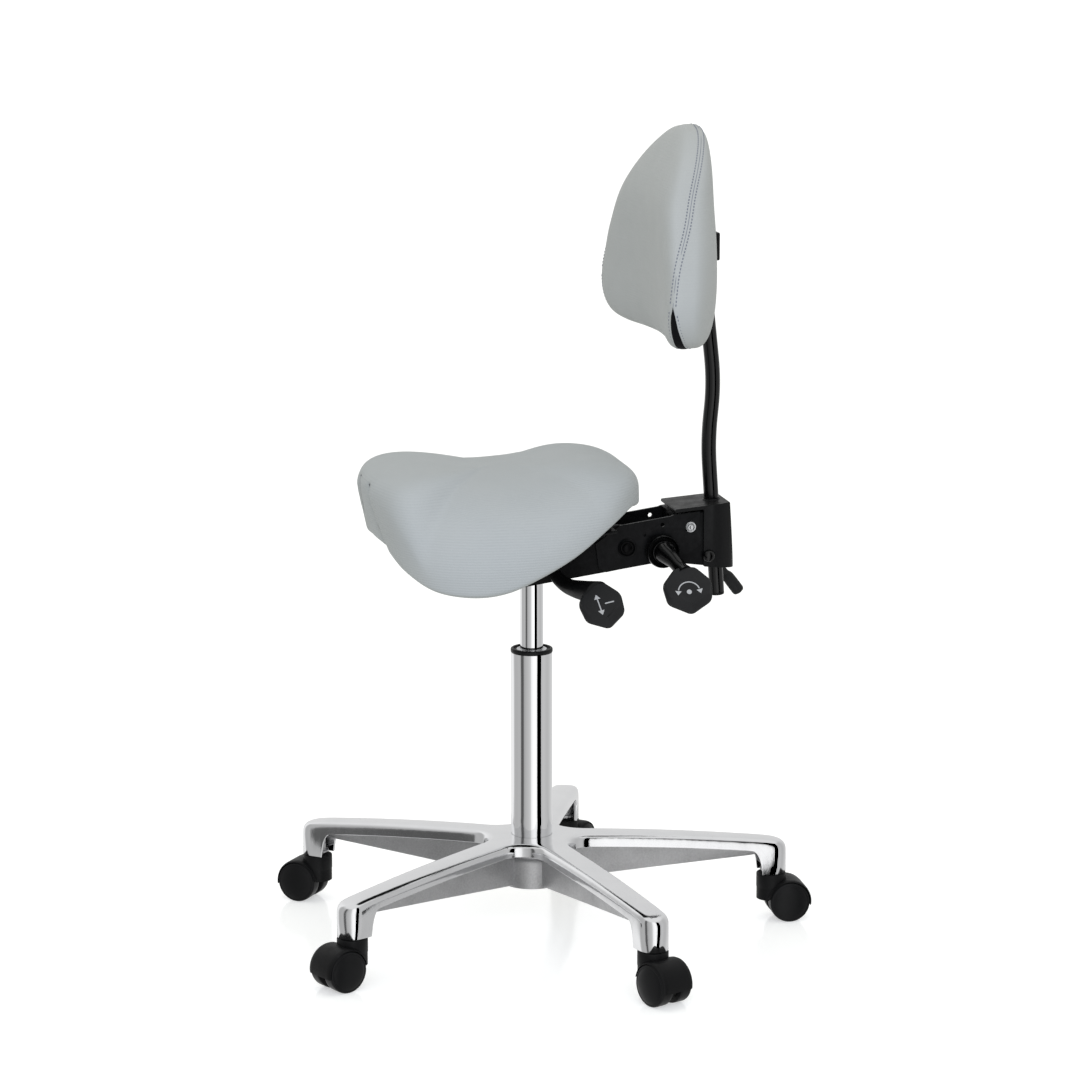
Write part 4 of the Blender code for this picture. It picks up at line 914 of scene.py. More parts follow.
def add_casters():
    hood = caster_hood()
    for number in range(1, ARMS + 1):
        swivel = JOINTS[f"caster_{number}_swivel"]["pos_m"]
        spin = JOINTS[f"caster_{number}_left_spin"]["pos_m"]
        turn = math.atan2(spin[1] - swivel[1], spin[0] - swivel[0])
        at = Matrix.Translation((swivel[0], swivel[1], 0.0)) @ Matrix.Rotation(turn, 4, "Z")
        name = f"caster_{number}"
        shown = piece(f"{name}_hood", hood.copy(), HOOD, name, SLOT["black"],
                      (f"{name}_housing",), at)
        round_edges(shown, 0.0007, 3, 40.0)
        sleeve = lathe(((0.0150, 0.0420), (0.0181, 0.0420), (0.0183, 0.0424), (0.0183, 0.0578),
                        (0.0181, 0.0588), (0.0175, 0.0594), (0.0165, 0.0596), (0.0060, 0.0596),
                        (0.0060, 0.0550), (0.0150, 0.0535)), 72, loop=True)
        piece(f"{name}_sleeve", sleeve, HOOD, name, SLOT["black"], at=at)
        left = BODY_OF[f"{name}_wheel_left"]
        right = BODY_OF[f"{name}_wheel_right"]
        piece(f"{name}_left_tyre", caster_wheel(1), WHEEL, left, SLOT["black"],
              (f"{name}_wheel_left",), at)
        piece(f"{name}_right_tyre", caster_wheel(-1), WHEEL, right, SLOT["black"],
              (f"{name}_wheel_right",), at)
        stem = lathe(((0.0, 0.0450), (0.0053, 0.0450), (0.0054, 0.0597), (0.0079, 0.0597),
                      (0.0080, 0.0602), (0.0054, 0.0603), (0.0054, 0.0840), (0.0040, 0.0859),
                      (0.0, 0.0859)), 40)
        piece(f"{name}_pin", stem, ZINC, name, SLOT["zinc"], (f"{name}_stem",), at)
    hood.free()


add_casters()

# ------------------------------------------------------------------ mechanism and levers


def spindle(node):
    """Where a cross pin's axis stands, from its CAD box."""
    low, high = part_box(node)
    middle = (low + high) / 2.0
    return Matrix.Translation((COLUMN.x, middle.y, middle.z))


def dress_pins():
    pivot = [(0.0, -0.0375), (0.0060, -0.0375), (0.0078, -0.0362), (0.0080, -0.0336),
             (0.0040, -0.0336), (0.0040, 0.0337), (0.0114, 0.0337), (0.0113, 0.0351),
             (0.0104, 0.0359), (0.0094, 0.0357), (0.0086, 0.0346), (0.0078, 0.0340),
             (0.0062, 0.0340), (0.0058, 0.0352), (0.0047, 0.0363), (0.0025, 0.0368),
             (0.0, 0.0369)]
    stand_in("pivot_pin", lathe(pivot, 64, axis="X"), STEEL, SLOT["steel"], "back_pivot_pin",
             at=spindle("back_pivot_pin"))
    clamp = [(0.0, -0.0384), (0.0062, -0.0384), (0.0076, -0.0374), (0.0080, -0.0360),
             (0.0080, -0.0336), (0.0040, -0.0336), (0.0040, 0.0337), (0.0078, 0.0337),
             (0.0080, 0.0345), (0.0078, 0.0358), (0.0, 0.0359)]
    stand_in("clamp_pin", lathe(clamp, 48, axis="X"), ZINC, SLOT["zinc"], "tilt_clamp_bolt",
             at=spindle("tilt_clamp_bolt"))
    head = [(0.0035, 0.0337), (0.0064, 0.0337), (0.0065, 0.0341), (0.0064, 0.0348),
            (0.0060, 0.0351), (0.0050, 0.0350), (0.0047, 0.0345), (0.0044, 0.0345),
            (0.0043, 0.0366), (0.0038, 0.0374), (0.0026, 0.0375), (0.0023, 0.0368),
            (0.0014, 0.0366), (0.0, 0.0366)]
    bolt = [(r, -x) for r, x in reversed(head)] + head
    stand_in("end_bolt", lathe(bolt, 64, axis="X"), ZINC, SLOT["zinc"], "rear_bolt",
             at=spindle("rear_bolt"))


COVER_SIDE = ((0.2046, 0.4555), (0.2455, 0.4508), (0.2387, 0.5325), (0.1690, 0.5270),
              (0.1690, 0.5230), (0.2046, 0.5258))
TUBE_LINE = ((0.2309, 0.4160), (0.2180, 0.6032), (0.2249, 0.6745), (0.2127, 0.7866),
             (0.2070, 0.8450))
TUBE_R = 0.009


def tube_path():
    return rounded([(0.0, y, z) for y, z in TUBE_LINE], 0.030, 8, loop=False)


def add_cover():
    half = 0.0365
    side = rounded(COVER_SIDE, 0.0016, 3)
    box = loft([[Vector((x, p.x, p.y)) for p in side] for x in (-half, half)])
    plan = [(-half, 0.160), (half, 0.160), (half, 0.226), (0.0255, 0.2462),
            (-0.0255, 0.2462), (-half, 0.226)]
    front_corners = [Vector(p) for p in plan[:2]]        # these two stay square
    plan = front_corners + rounded(plan, 0.016, 8)[2 * 9:]
    trim = loft([[Vector((p.x, p.y, z)) for p in plan] for z in (0.440, 0.545)])
    path = tube_path()
    hole = sweep([path[0], path[1]], lambda t: TUBE_R + 0.0004, 48)
    top = loft([[Vector((x, y, z)) for x, y in ((-0.0290, 0.150), (0.0290, 0.150),
                                                (0.0290, 0.2030), (-0.0290, 0.2030))]
                for z in (0.4400, 0.5224)])
    body = combined(box, ("INTERSECT", trim), ("DIFFERENCE", hole), ("DIFFERENCE", top))
    shown = stand_in("cover_box", body, BLACK, SLOT["black"], "rear_cover", sharp_deg=28.0)
    round_edges(shown, 0.0013, 3, 30.0)
    apron = loft([[Vector((x, y, z)) for y, z in ((0.1720, 0.4605), (0.2060, 0.4560),
                                                  (0.2060, 0.5220), (0.1720, 0.5190))]
                  for x in (-0.0325, 0.0325)])
    round_edges(piece("cover_front", apron, STEEL, BODY_OF["rear_cover"], SLOT["black"]), 0.001)
    ring = lathe(((0.0092, -0.0006), (0.0108, -0.0006), (0.0110, 0.0002), (0.0106, 0.0009),
                  (0.0098, 0.0011), (0.0092, 0.0008)), 56, loop=True)
    tilt = (path[1] - path[0]).to_track_quat("Z", "Y").to_matrix().to_4x4()
    lid = path[0].lerp(path[1], (0.5312 - path[0].z) / (path[1].z - path[0].z))
    piece("cover_collar", moved(ring, tilt, Matrix.Translation(lid)), BLACK,
          BODY_OF["rear_cover"], SLOT["black"])
    cap = lathe(((0.0, 0.0002), (0.0074, 0.0002), (0.0077, 0.0012), (0.0075, 0.0026),
                 (0.0067, 0.0043), (0.0053, 0.0056), (0.0033, 0.0064), (0.0, 0.0067)), 64,
                axis="X")
    stand_in("cover_screw", moved(cap, Matrix.Translation((0.0365, 0.2105, 0.4685))), TUBE,
             SLOT["black"], "cover_screw_cap")


def lever_axes(along, face_hint):
    along = Vector(along).normalized()
    across = Vector(face_hint).cross(along).normalized()
    return along, across, along.cross(across)


PADDLE_THICK = 0.013
PADDLE_OUTLINE = ((-0.50, -0.21), (-0.17, -0.50), (0.24, -0.45), (0.50, 0.0), (0.24, 0.45),
                  (-0.17, 0.50), (-0.50, 0.21))


def paddle(centre, axes, length, width, thickness):
    """Flat hand grip with rounded corners and a sloping strip round its outer end."""
    along, across, out = axes
    outline = rounded([(a * length, b * width) for a, b in PADDLE_OUTLINE], 0.0060, 7)
    half = thickness / 2.0
    layers = ((-half, 0.0052, 0.0), (-half + 0.0004, 0.0034, 0.0), (-half + 0.0016, 0.0014, 0.0),
              (-half + 0.0036, 0.0002, 0.0), (0.0002, 0.0, 0.0), (0.0016, 0.0003, 0.0002),
              (0.0022, 0.0009, 0.0008), (half - 0.0012, 0.0018, 0.0044),
              (half - 0.0004, 0.0027, 0.0052), (half, 0.0042, 0.0060))
    rings = []
    for level, depth, strip in layers:
        ring = []
        for i, point in enumerate(outline):
            run = (outline[(i + 1) % len(outline)] - outline[i - 1]).normalized()
            share = ease(0.06 * length, 0.24 * length, point.x)
            place = point + Vector((-run.y, run.x)) * (depth + strip * share)
            ring.append(Vector(centre) + along * place.x + across * place.y + out * level)
        rings.append(ring)
    return loft(rings)


def flat_shape(outline, centre, axes, level, thickness=0.0003):
    along, across, out = axes
    rings = []
    for height in (level - 0.0002, level + thickness):
        rings.append([Vector(centre) + along * a + across * b + out * height
                      for a, b in outline])
    return loft(rings)


def arrow(start, end, width, head):
    """Outline of a straight arrow with a head at each end."""
    start, end = Vector(start), Vector(end)
    run = (end - start).normalized()
    side = Vector((-run.y, run.x))
    neck_a, neck_b = start + run * head, end - run * head
    return [start, neck_a + side * head * 0.62, neck_a + side * width, neck_b + side * width,
            neck_b + side * head * 0.62, end, neck_b - side * head * 0.62,
            neck_b - side * width, neck_a - side * width, neck_a - side * head * 0.62]


def arc_strip(centre, radius, low_deg, high_deg, width):
    """Outline of a bent strip."""
    turns = [math.radians(low_deg + (high_deg - low_deg) * k / 14.0) for k in range(15)]
    centre = Vector(centre)
    outer = [centre + Vector((math.cos(t), math.sin(t))) * (radius + width) for t in turns]
    inner = [centre + Vector((math.cos(t), math.sin(t))) * (radius - width) for t in turns]
    return outer + inner[::-1]


def add_levers():
    pivot = Vector((0.034, 0.0136, 0.472))
    end = Vector((0.140, 0.055, 0.4350))
    outward = Vector((end.x, end.y, 0.0)).normalized()
    tongue = Vector((0.0, 0.0, 0.4820))
    axes = lever_axes((0.676, 0.153, -0.720), (0.72, -0.12, 0.68))
    neck = end - axes[0] * 0.0200
    path = smooth_path((tongue - outward * 0.005, tongue + outward * 0.014, pivot,
                        Vector((0.0470, 0.0188, 0.4560)), Vector((0.0700, 0.0278, 0.4475)),
                        Vector((0.0960, 0.0384, 0.4470)), neck), 9)
    sizes = ((0.0, 0.0026), (0.15, 0.0029), (0.30, 0.0050), (0.45, 0.0072), (0.65, 0.0098),
             (0.85, 0.0138), (1.0, 0.0165))
    arm = sweep(path, lambda t: table_value(sizes, t), 40, side=axes[1], flat=0.80)
    stand_in("height_arm", arm, BLACK, SLOT["black"], "height_lever_arm")
    stand_in("height_grip", paddle(end, axes, 0.060, 0.053, PADDLE_THICK), RUBBER,
             SLOT["black"], "height_lever_paddle", sharp_deg=24.0)
    face = PADDLE_THICK / 2.0
    marks = [flat_shape(arrow((-0.0140, -0.0040), (0.0140, -0.0040), 0.0007, 0.0062), end, axes,
                        face),
             flat_shape(((-0.0008, 0.0030), (0.0008, 0.0030), (0.0008, 0.0140),
                         (-0.0008, 0.0140)), end, axes, face)]
    piece("height_mark", merge(*marks), PRINT, BODY_OF["height_lever_paddle"], SLOT["black"])

    low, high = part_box("tilt_lever_collar")
    root = Vector((0.0365, (low.y + high.y) / 2.0 - COLUMN.y, (low.z + high.z) / 2.0))
    cup = lathe(((0.0045, 0.0002), (0.0196, 0.0002), (0.0201, 0.0010), (0.0203, 0.0050),
                 (0.0201, 0.0100), (0.0198, 0.0118), (0.0193, 0.0125), (0.0187, 0.0124),
                 (0.0181, 0.0114), (0.0178, 0.0096), (0.0172, 0.0084), (0.0158, 0.0078),
                 (0.0150, 0.0084), (0.0146, 0.0110), (0.0141, 0.0140), (0.0136, 0.0150),
                 (0.0045, 0.0150)), 96, loop=True, axis="X")
    stand_in("tilt_cup", moved(cup, Matrix.Translation(root)), TUBE, SLOT["black"],
             "tilt_lever_collar", sharp_deg=50.0)
    end = Vector((0.105, 0.168, 0.4412))
    knee = root + Vector((0.0135, 0.0, 0.0))
    axes = lever_axes((0.616, 0.012, -0.790), (0.75, -0.10, 0.65))
    neck = end - axes[0] * 0.0240
    path = smooth_path((knee, knee + Vector((0.0055, 0.0003, -0.0010)),
                        knee.lerp(neck, 0.42) + Vector((0.0020, 0.0, 0.0012)),
                        knee.lerp(neck, 0.75), neck), 9)
    sizes = ((0.0, 0.0136), (0.12, 0.0130), (0.35, 0.0108), (0.60, 0.0088), (0.85, 0.0088),
             (1.0, 0.0100))
    arm = sweep(path, lambda t: table_value(sizes, t), 48, side=Vector((0.0, 1.0, 0.0)))
    stand_in("tilt_arm", arm, TUBE, SLOT["black"], "tilt_lever_arm")
    stand_in("tilt_grip", paddle(end, axes, 0.061, 0.060, PADDLE_THICK), RUBBER,
             SLOT["black"], "tilt_lever_paddle", sharp_deg=24.0)
    marks = [flat_shape(arc_strip((0.004, 0.0), 0.0130, 105.0, 255.0, 0.0007), end, axes, face)]
    for turn, way in ((100.0, 1.0), (260.0, -1.0)):
        t = math.radians(turn)
        tip = Vector((0.004 + 0.0130 * math.cos(t), 0.0130 * math.sin(t)))
        run = Vector((math.sin(t), -math.cos(t))) * way
        side = Vector((-run.y, run.x))
        marks.append(flat_shape([tip + run * 0.0056, tip + side * 0.0038, tip - side * 0.0038],
                                end, axes, face))
    marks.append(flat_shape([Vector((0.004, 0.0)) + p for p in circle(0.0030, 24)], end, axes,
                            face))
    piece("tilt_mark", merge(*marks), PRINT, BODY_OF["tilt_lever_paddle"], SLOT["black"])

    root = Vector((-0.0370, 0.2290, 0.4610))
    end = Vector((-0.0450, 0.2695, 0.4070))
    hub = lathe(((0.0, -0.0109), (0.0080, -0.0109), (0.0091, -0.0101), (0.0095, -0.0088),
                 (0.0095, -0.0003), (0.0, -0.0003)), 56, axis="X")
    start = root + Vector((-0.006, 0.002, -0.003))
    heel = start.lerp(end, 0.40)
    tip = end + (end - heel).normalized() * 0.0042
    path = [start.lerp(heel, k / 4.0) for k in range(4)]
    path += [heel.lerp(tip, k / 26.0) for k in range(27)]
    grip = ((0.0, 0.0046), (0.34, 0.0050), (0.42, 0.0066), (0.50, 0.0074), (0.90, 0.0076),
            (0.955, 0.0070), (0.985, 0.0052), (1.0, 0.0030))
    handle = sweep(path, lambda t: table_value(grip, t), 40)
    stand_in("clamp_handle", merge(moved(hub, Matrix.Translation(root)), handle), RUBBER,
             SLOT["black"], "clamp_lever", sharp_deg=50.0)


def add_tube():
    path = tube_path()
    tube = sweep(path, lambda t: TUBE_R, 56, side=Vector((1.0, 0.0, 0.0)))
    stand_in("upright_bar", tube, TUBE, SLOT["tube"], "upright_tube")
    down = (path[0] - path[1]).normalized()
    tilt = down.to_track_quat("Z", "Y").to_matrix().to_4x4()
    plug = lathe(((0.0, -0.0110), (0.0070, -0.0110), (0.0071, 0.0003), (0.0090, 0.0003),
                  (0.0090, 0.0020), (0.0086, 0.0030), (0.0076, 0.0035), (0.0, 0.0036)), 56)
    stand_in("bar_plug", moved(plug, tilt, Matrix.Translation(path[0])), BLACK, SLOT["black"],
             "tube_end_cap")
    block = plate(0.0203, 0.1967, 0.2263, 0.0045, 0.8242, 0.8573, 0.0016)
    neck = plate(0.0120, 0.1990, 0.2215, 0.0040, 0.8180, 0.8250, 0.0008)
    stand_in("bar_bracket", merge(block, neck), BLACK, SLOT["black"], "pad_bracket")


dress_pins()
add_cover()
add_levers()
add_tube()

# ------------------------------------------------------------------ cushions

# Half of the seat's lower edge from the nose to the tail: across, along, height.
SEAT_RIM = ((0.000, -0.1965, 0.503), (0.035, -0.1955, 0.502), (0.070, -0.1900, 0.496),
            (0.122, -0.1780, 0.480), (0.163, -0.1510, 0.464), (0.187, -0.1110, 0.459),
            (0.192, -0.0700, 0.463), (0.188, -0.0300, 0.477), (0.174, 0.0190, 0.499),
            (0.146, 0.0660, 0.526), (0.100, 0.1020, 0.540), (0.050, 0.1215, 0.534),
            (0.000, 0.1265, 0.529))
SEAT_CENTRE_Y = -0.045
# Height of the crown's middle line, from front to back.
SEAT_CREST = ((-0.220, 0.5885), (-0.140, 0.5905), (-0.059, 0.5855), (-0.020, 0.5865),
              (0.000, 0.5890), (0.043, 0.5955), (0.080, 0.5970), (0.105, 0.5965),
              (0.140, 0.5890))
SEAT_NOSE_SWELL = 0.0115      # how far the nose leans out over its rim
# Half of the backrest's outline seen from the front: across, height.
PAD_OUTLINE = ((0.000, 0.9867), (0.042, 0.9780), (0.086, 0.9510), (0.126, 0.9080),
               (0.158, 0.8580), (0.178, 0.8120), (0.184, 0.7840), (0.178, 0.7600),
               (0.158, 0.7420), (0.120, 0.7345), (0.060, 0.7340), (0.000, 0.7345))
PAD_CENTRE_Z = 0.840
# Where the backrest's mid surface stands, and half its thickness, by height.
PAD_MIDDLE = ((0.740, 0.176), (0.800, 0.178), (0.850, 0.1765), (0.900, 0.1755),
              (0.940, 0.181), (0.990, 0.192))
PAD_HALF = ((0.740, 0.036), (0.800, 0.036), (0.850, 0.0370), (0.900, 0.0362),
            (0.940, 0.0315), (0.990, 0.022))
PAD_WRAP = 1.05               # how strongly the sides come forward
PAD_THINNING = 0.20           # how strongly the sides get thinner
COVER_SHRINK = 0.0010         # the covers start this much too small
COVER_PRESSURE = 4.0
COVER_LIMIT = 0.0009          # no point of a cover moves further
SMOOTH_PASSES = 14
STITCH = (0.0031, 0.0043, 0.00065)      # a stitch's length, pitch and thread radius


def mirrored(half):
    return half + [Vector((-p.x, p.y, p.z)) for p in half[1:-1]][::-1]


def seat_rings(rim, steps, scale, lower, lift):
    """Rings of the saddle surface from its middle to its rim."""
    centre = Vector((0.0, SEAT_CENTRE_Y, 0.0))
    rings = []
    for step in steps:
        ring = []
        for edge in rim:
            place = centre.lerp(Vector((edge.x, edge.y, 0.0)), step * scale)
            crest = table_value(SEAT_CREST, place.y) - lower
            power = (2.3 + 5.2 * ease(0.150, 0.196, -edge.y) + 2.0 * ease(0.05, 0.12, edge.y))
            fall = max(0.0, 1.0 - step ** power) ** (1.0 / power)
            base = edge.z + lift
            rise = (crest - base) * fall
            forward = ease(0.08, 0.20, -place.y)
            swell = 1.0 - (1.0 - min(rise / 0.075, 1.0)) ** 3
            ring.append(Vector((place.x, place.y - SEAT_NOSE_SWELL * forward * swell,
                                base + rise)))
        rings.append(ring[:1] if step == 0.0 else ring)
    return rings


def inflate(obj, held, depth, pressure, limit, frames=20):
    """Start a cover smaller by depth, let it swell over its filling, and keep the result.

    The points in held stay put. At the end the whole cover is brought back to its size, so
    that only the uneven part of the swelling is left.
    """
    normals = [v.normal.copy() for v in obj.data.vertices]
    loose = [1.0 - held.get(v.index, 0.0) for v in obj.data.vertices]
    for vert, normal, share in zip(obj.data.vertices, normals, loose):
        vert.co -= normal * depth * share
    start = [v.co.copy() for v in obj.data.vertices]
    group = obj.vertex_groups.new(name="held")
    for index, weight in held.items():
        group.add([index], weight, "REPLACE")
    cloth = obj.modifiers.new("cloth", "CLOTH")
    settings = cloth.settings
    settings.quality = 6
    settings.mass = 0.25
    settings.air_damping = 4.0
    settings.tension_stiffness = 26.0
    settings.compression_stiffness = 26.0
    settings.shear_stiffness = 10.0
    settings.bending_stiffness = 1.2
    settings.use_pressure = True
    settings.uniform_pressure_force = pressure
    settings.vertex_group_mass = "held"
    settings.effector_weights.gravity = 0.0
    cloth.point_cache.frame_start = 1
    cloth.point_cache.frame_end = frames
    scene = bpy.context.scene
    for number in range(1, frames + 1):
        scene.frame_set(number)
    graph = bpy.context.evaluated_depsgraph_get()
    swollen = obj.evaluated_get(graph)
    moved_to = [v.co.copy() for v in swollen.data.vertices]
    obj.modifiers.clear()
    scene.frame_set(1)
    shifts = []
    for before, after in zip(start, moved_to):
        shift = after - before
        if shift.length > limit:
            shift *= limit / shift.length
        shifts.append(shift)
    for _ in range(SMOOTH_PASSES):
        total = [shift.copy() for shift in shifts]
        count = [1] * len(shifts)
        for edge in obj.data.edges:
            a, b = edge.vertices
            total[a] += shifts[b]
            total[b] += shifts[a]
            count[a] += 1
            count[b] += 1
        shifts = [both / number for both, number in zip(total, count)]
    free = [i for i, share in enumerate(loose) if share > 0.99]
    mean = sum(shifts[i].dot(normals[i]) for i in free) / len(free)
    for vert, before, shift, normal, share in zip(obj.data.vertices, start, shifts, normals,
                                                  loose):
        vert.co = before + shift + normal * (depth - mean) * share


def refine(obj, levels=1):
    """Replace the mesh by its finer, smoother self."""
    modifier = obj.modifiers.new("finer", "SUBSURF")
    modifier.levels = modifier.render_levels = levels
    bpy.context.view_layer.update()
    graph = bpy.context.evaluated_depsgraph_get()
    mesh = bpy.data.meshes.new_from_object(obj.evaluated_get(graph))
    obj.modifiers.clear()
    obj.vertex_groups.clear()
    obj.data = mesh
    obj.data.shade_smooth()


def tree_of(obj):
    bm = bmesh.new()
    bm.from_mesh(obj.data)
    tree = BVHTree.FromBMesh(bm)
    bm.free()
    return tree


def hit(tree, start, aim):
    """Point and normal where a ray from start towards aim meets the skin."""
    place, normal, _, _ = tree.ray_cast(start, (aim - start).normalized())
    return place, normal


def evened(values, reach=4):
    """The same run of vectors with its small jitter averaged out."""
    last = len(values) - 1
    result = []
    for i in range(last + 1):
        near = min(reach, i, last - i)
        part = values[i - near:i + near + 1]
        result.append(sum(part, Vector()) / len(part))
    return result


def strip(points, normals, half, rise):
    """Thin raised band that lies along a line on a surface."""
    rings = []
    last = len(points) - 1
    for i, (point, normal) in enumerate(zip(points, normals)):
        ahead = (points[min(i + 1, last)] - points[max(i - 1, 0)]).normalized()
        side = normal.cross(ahead).normalized()
        rings.append([point + side * a * half + normal * b for a, b in
                      ((-1.0, -0.0012), (-0.8, rise * 0.7), (0.0, rise), (0.8, rise * 0.7),
                       (1.0, -0.0012))])
    return loft(rings)


def stitch_line(points, normals, dash, pitch, radius):
    """Small thread stitches spread along a line on a surface."""
    lengths = [0.0]
    for a, b in zip(points, points[1:]):
        lengths.append(lengths[-1] + (b - a).length)
    parts = []

    def at(distance):
        k = max(i for i, length in enumerate(lengths[:-1]) if length <= distance)
        share = (distance - lengths[k]) / max(lengths[k + 1] - lengths[k], 1e-9)
        return (points[k].lerp(points[k + 1], share),
                normals[k].lerp(normals[k + 1], share).normalized())

    place = pitch / 2.0
    while place + dash < lengths[-1]:
        rings = []
        for share, size in ((0.0, 0.35), (0.12, 0.8), (0.3, 1.0), (0.7, 1.0), (0.88, 0.8),
                            (1.0, 0.35)):
            point, normal = at(place + dash * share)
            ahead = (at(place + dash)[0] - at(place)[0]).normalized()
            side = normal.cross(ahead).normalized()
            rise = -0.25 + 0.75 * math.sin(math.pi * share)
            rings.append([point + normal * radius * (rise + size * p.y)
                          + side * radius * size * p.x for p in circle(1.0, 6)])
        parts.append(loft(rings))
        place += pitch
    return merge(*parts)


def add_seat():
    spokes = 192
    rim = mirrored(even_path(SEAT_RIM, spokes // 2 + 1))
    steps = [0.0, 0.035, 0.08, 0.13, 0.185, 0.24, 0.295, 0.35, 0.405, 0.46, 0.512, 0.562,
             0.61, 0.656, 0.70, 0.741, 0.78, 0.816, 0.849, 0.878, 0.904, 0.927, 0.947, 0.963,
             0.976, 0.986, 0.993, 0.9975, 1.0]
    crown = seat_rings(rim, steps, 1.0, 0.0, 0.0075)
    roll = [seat_rings(rim, (1.0,), scale, 0.0, lift)[0] for scale, lift in
            ((0.996, 0.0056), (0.988, 0.0038), (0.977, 0.0025), (0.963, 0.0016))]
    under = [seat_rings(rim, (1.0,), scale, 0.0, lift)[0] for scale, lift in
             ((0.945, 0.0014), (0.90, 0.0004))]
    inner = seat_rings(rim, (1.0, 0.95, 0.87, 0.78, 0.65, 0.50, 0.35, 0.18, 0.0), 0.84, 0.055,
                       0.0)
    rings = crown + roll + under + inner
    visible = len(crown + roll + under)
    bm = loft(rings)
    seat = piece("seat_cover", bm, FABRIC, BODY_OF["seat_cushion"], SLOT["fabric"],
                 ("seat_cushion",), at=Matrix.Identity(4), sharp_deg=80.0)
    held = {}
    index = 0
    for level, ring in enumerate(rings):
        for _ in ring:
            if level >= visible - 1:
                held[index] = 1.0
            elif level >= visible - 3:
                held[index] = 0.5
            index += 1
    inflate(seat, held, COVER_SHRINK, COVER_PRESSURE, COVER_LIMIT)
    refine(seat)
    crease(seat)
    seat.data.transform(AT_COLUMN)
    return seat


# The nose panel's seam seen from the front, from its top down: across, height.
CREASE = ((0.0270, 0.5760), (0.0330, 0.5630), (0.0405, 0.5420), (0.0500, 0.5220),
          (0.0640, 0.5030), (0.0720, 0.4955))


def crease(seat):
    """Seam that joins the nose panel to each side: a narrow valley down the front."""
    line = even_path([(x, 0.0, z) for x, z in CREASE], 60)
    for vert in seat.data.vertices:
        if vert.co.y > -0.150 or vert.co.z < 0.488:
            continue
        spot = Vector((abs(vert.co.x), 0.0, vert.co.z))
        k = min(range(len(line)), key=lambda i: (line[i] - spot).length_squared)
        away = (line[k] - spot).length
        fade = ease(0.0, 0.10, k / 59.0) * (1.0 - ease(0.96, 1.0, k / 59.0) * 0.4)
        depth = 0.0034 * math.exp(-(away / 0.0050) ** 2)
        inside = spot.x < line[k].x
        if inside:
            depth += 0.0028 * math.exp(-(away / 0.022) ** 2)
        vert.co += Vector((0.0, 1.0, 0.12)) * depth * fade


def add_seat_seam_shadow(seat):
    tree = tree_of(seat)
    line = even_path([(x, 0.0, z) for x, z in CREASE], 60)
    for side, name in ((1.0, "left"), (-1.0, "right")):
        points, normals = [], []
        for spot in line[3:]:
            start = Vector((spot.x * side, -0.30, spot.z)) + COLUMN
            place, normal = hit(tree, start, start + Vector((0.0, 0.22, 0.0)))
            points.append(place)
            normals.append(normal)
        points, normals = evened(points, 6), evened(normals, 6)
        # dark band in the crease: painted shade along the seam
        piece(f"seat_seam_{name}", strip(points, normals, 0.0013, 0.00140), SEAM_SHADOW,
              BODY_OF["seat_cushion"], SLOT["fabric"], at=Matrix.Identity(4))


def pad_ring(rim, step, share):
    """One ring of the backrest's skin. Share -1 is its front, 1 its back."""
    middle = Vector((0.0, 0.0, PAD_CENTRE_Z))
    ring = []
    for edge in rim:
        place = middle.lerp(edge, step)
        depth = table_value(PAD_MIDDLE, place.z) - PAD_WRAP * place.x ** 2
        half = table_value(PAD_HALF, place.z) - PAD_THINNING * place.x ** 2
        round_off = max(0.0, 1.0 - step ** 4.0) ** 0.25
        ring.append(Vector((place.x, depth + share * half * round_off, place.z)))
    return ring[:1] if step == 0.0 else ring


def channel(pad):
    """Press a channel into the back for the upright bar and its bracket."""
    for vert in pad.data.vertices:
        x, y, z = vert.co
        if y < 0.19:
            continue
        bar = ease(0.0185, 0.0120, abs(x)) if abs(x) > 0.0120 else 1.0
        bar *= 1.0 - ease(0.852, 0.866, z)
        block = (1.0 - ease(0.0205, 0.0265, abs(x))) * (1.0 - ease(0.858, 0.868, z))
        block *= ease(0.812, 0.822, z)
        press = max(bar, block)
        floor = 0.1955
        if y > floor:
            vert.co.y = y + (floor - y) * press


def add_pad():
    spokes = 192
    half = even_path([(x, 0.0, z) for x, z in PAD_OUTLINE], spokes // 2 + 1)
    rim = mirrored(half)
    steps = (0.0, 0.05, 0.11, 0.18, 0.25, 0.32, 0.39, 0.46, 0.53, 0.60, 0.66, 0.72, 0.775,
             0.82, 0.86, 0.895, 0.925, 0.948, 0.966, 0.979, 0.988, 0.994, 0.998)
    front = [pad_ring(rim, step, -1.0) for step in steps]
    back = [pad_ring(rim, step, 1.0) for step in steps]
    rings = front + [pad_ring(rim, 1.0, 0.0)] + back[::-1]
    bm = loft(rings)
    pad = piece("back_cover", bm, BACK_FABRIC, BODY_OF["pad_front_cushion"], SLOT["fabric"],
                ("pad_front_cushion", "pad_rear_cushion", "pad_board"),
                at=Matrix.Identity(4), sharp_deg=80.0)
    held = {}
    for vert in pad.data.vertices:
        if abs(vert.co.x) < 0.024 and vert.co.y > 0.19 and vert.co.z < 0.87:
            held[vert.index] = 1.0
    inflate(pad, held, COVER_SHRINK, COVER_PRESSURE, COVER_LIMIT)
    refine(pad)
    channel(pad)
    pad.data.transform(AT_COLUMN)
    return pad


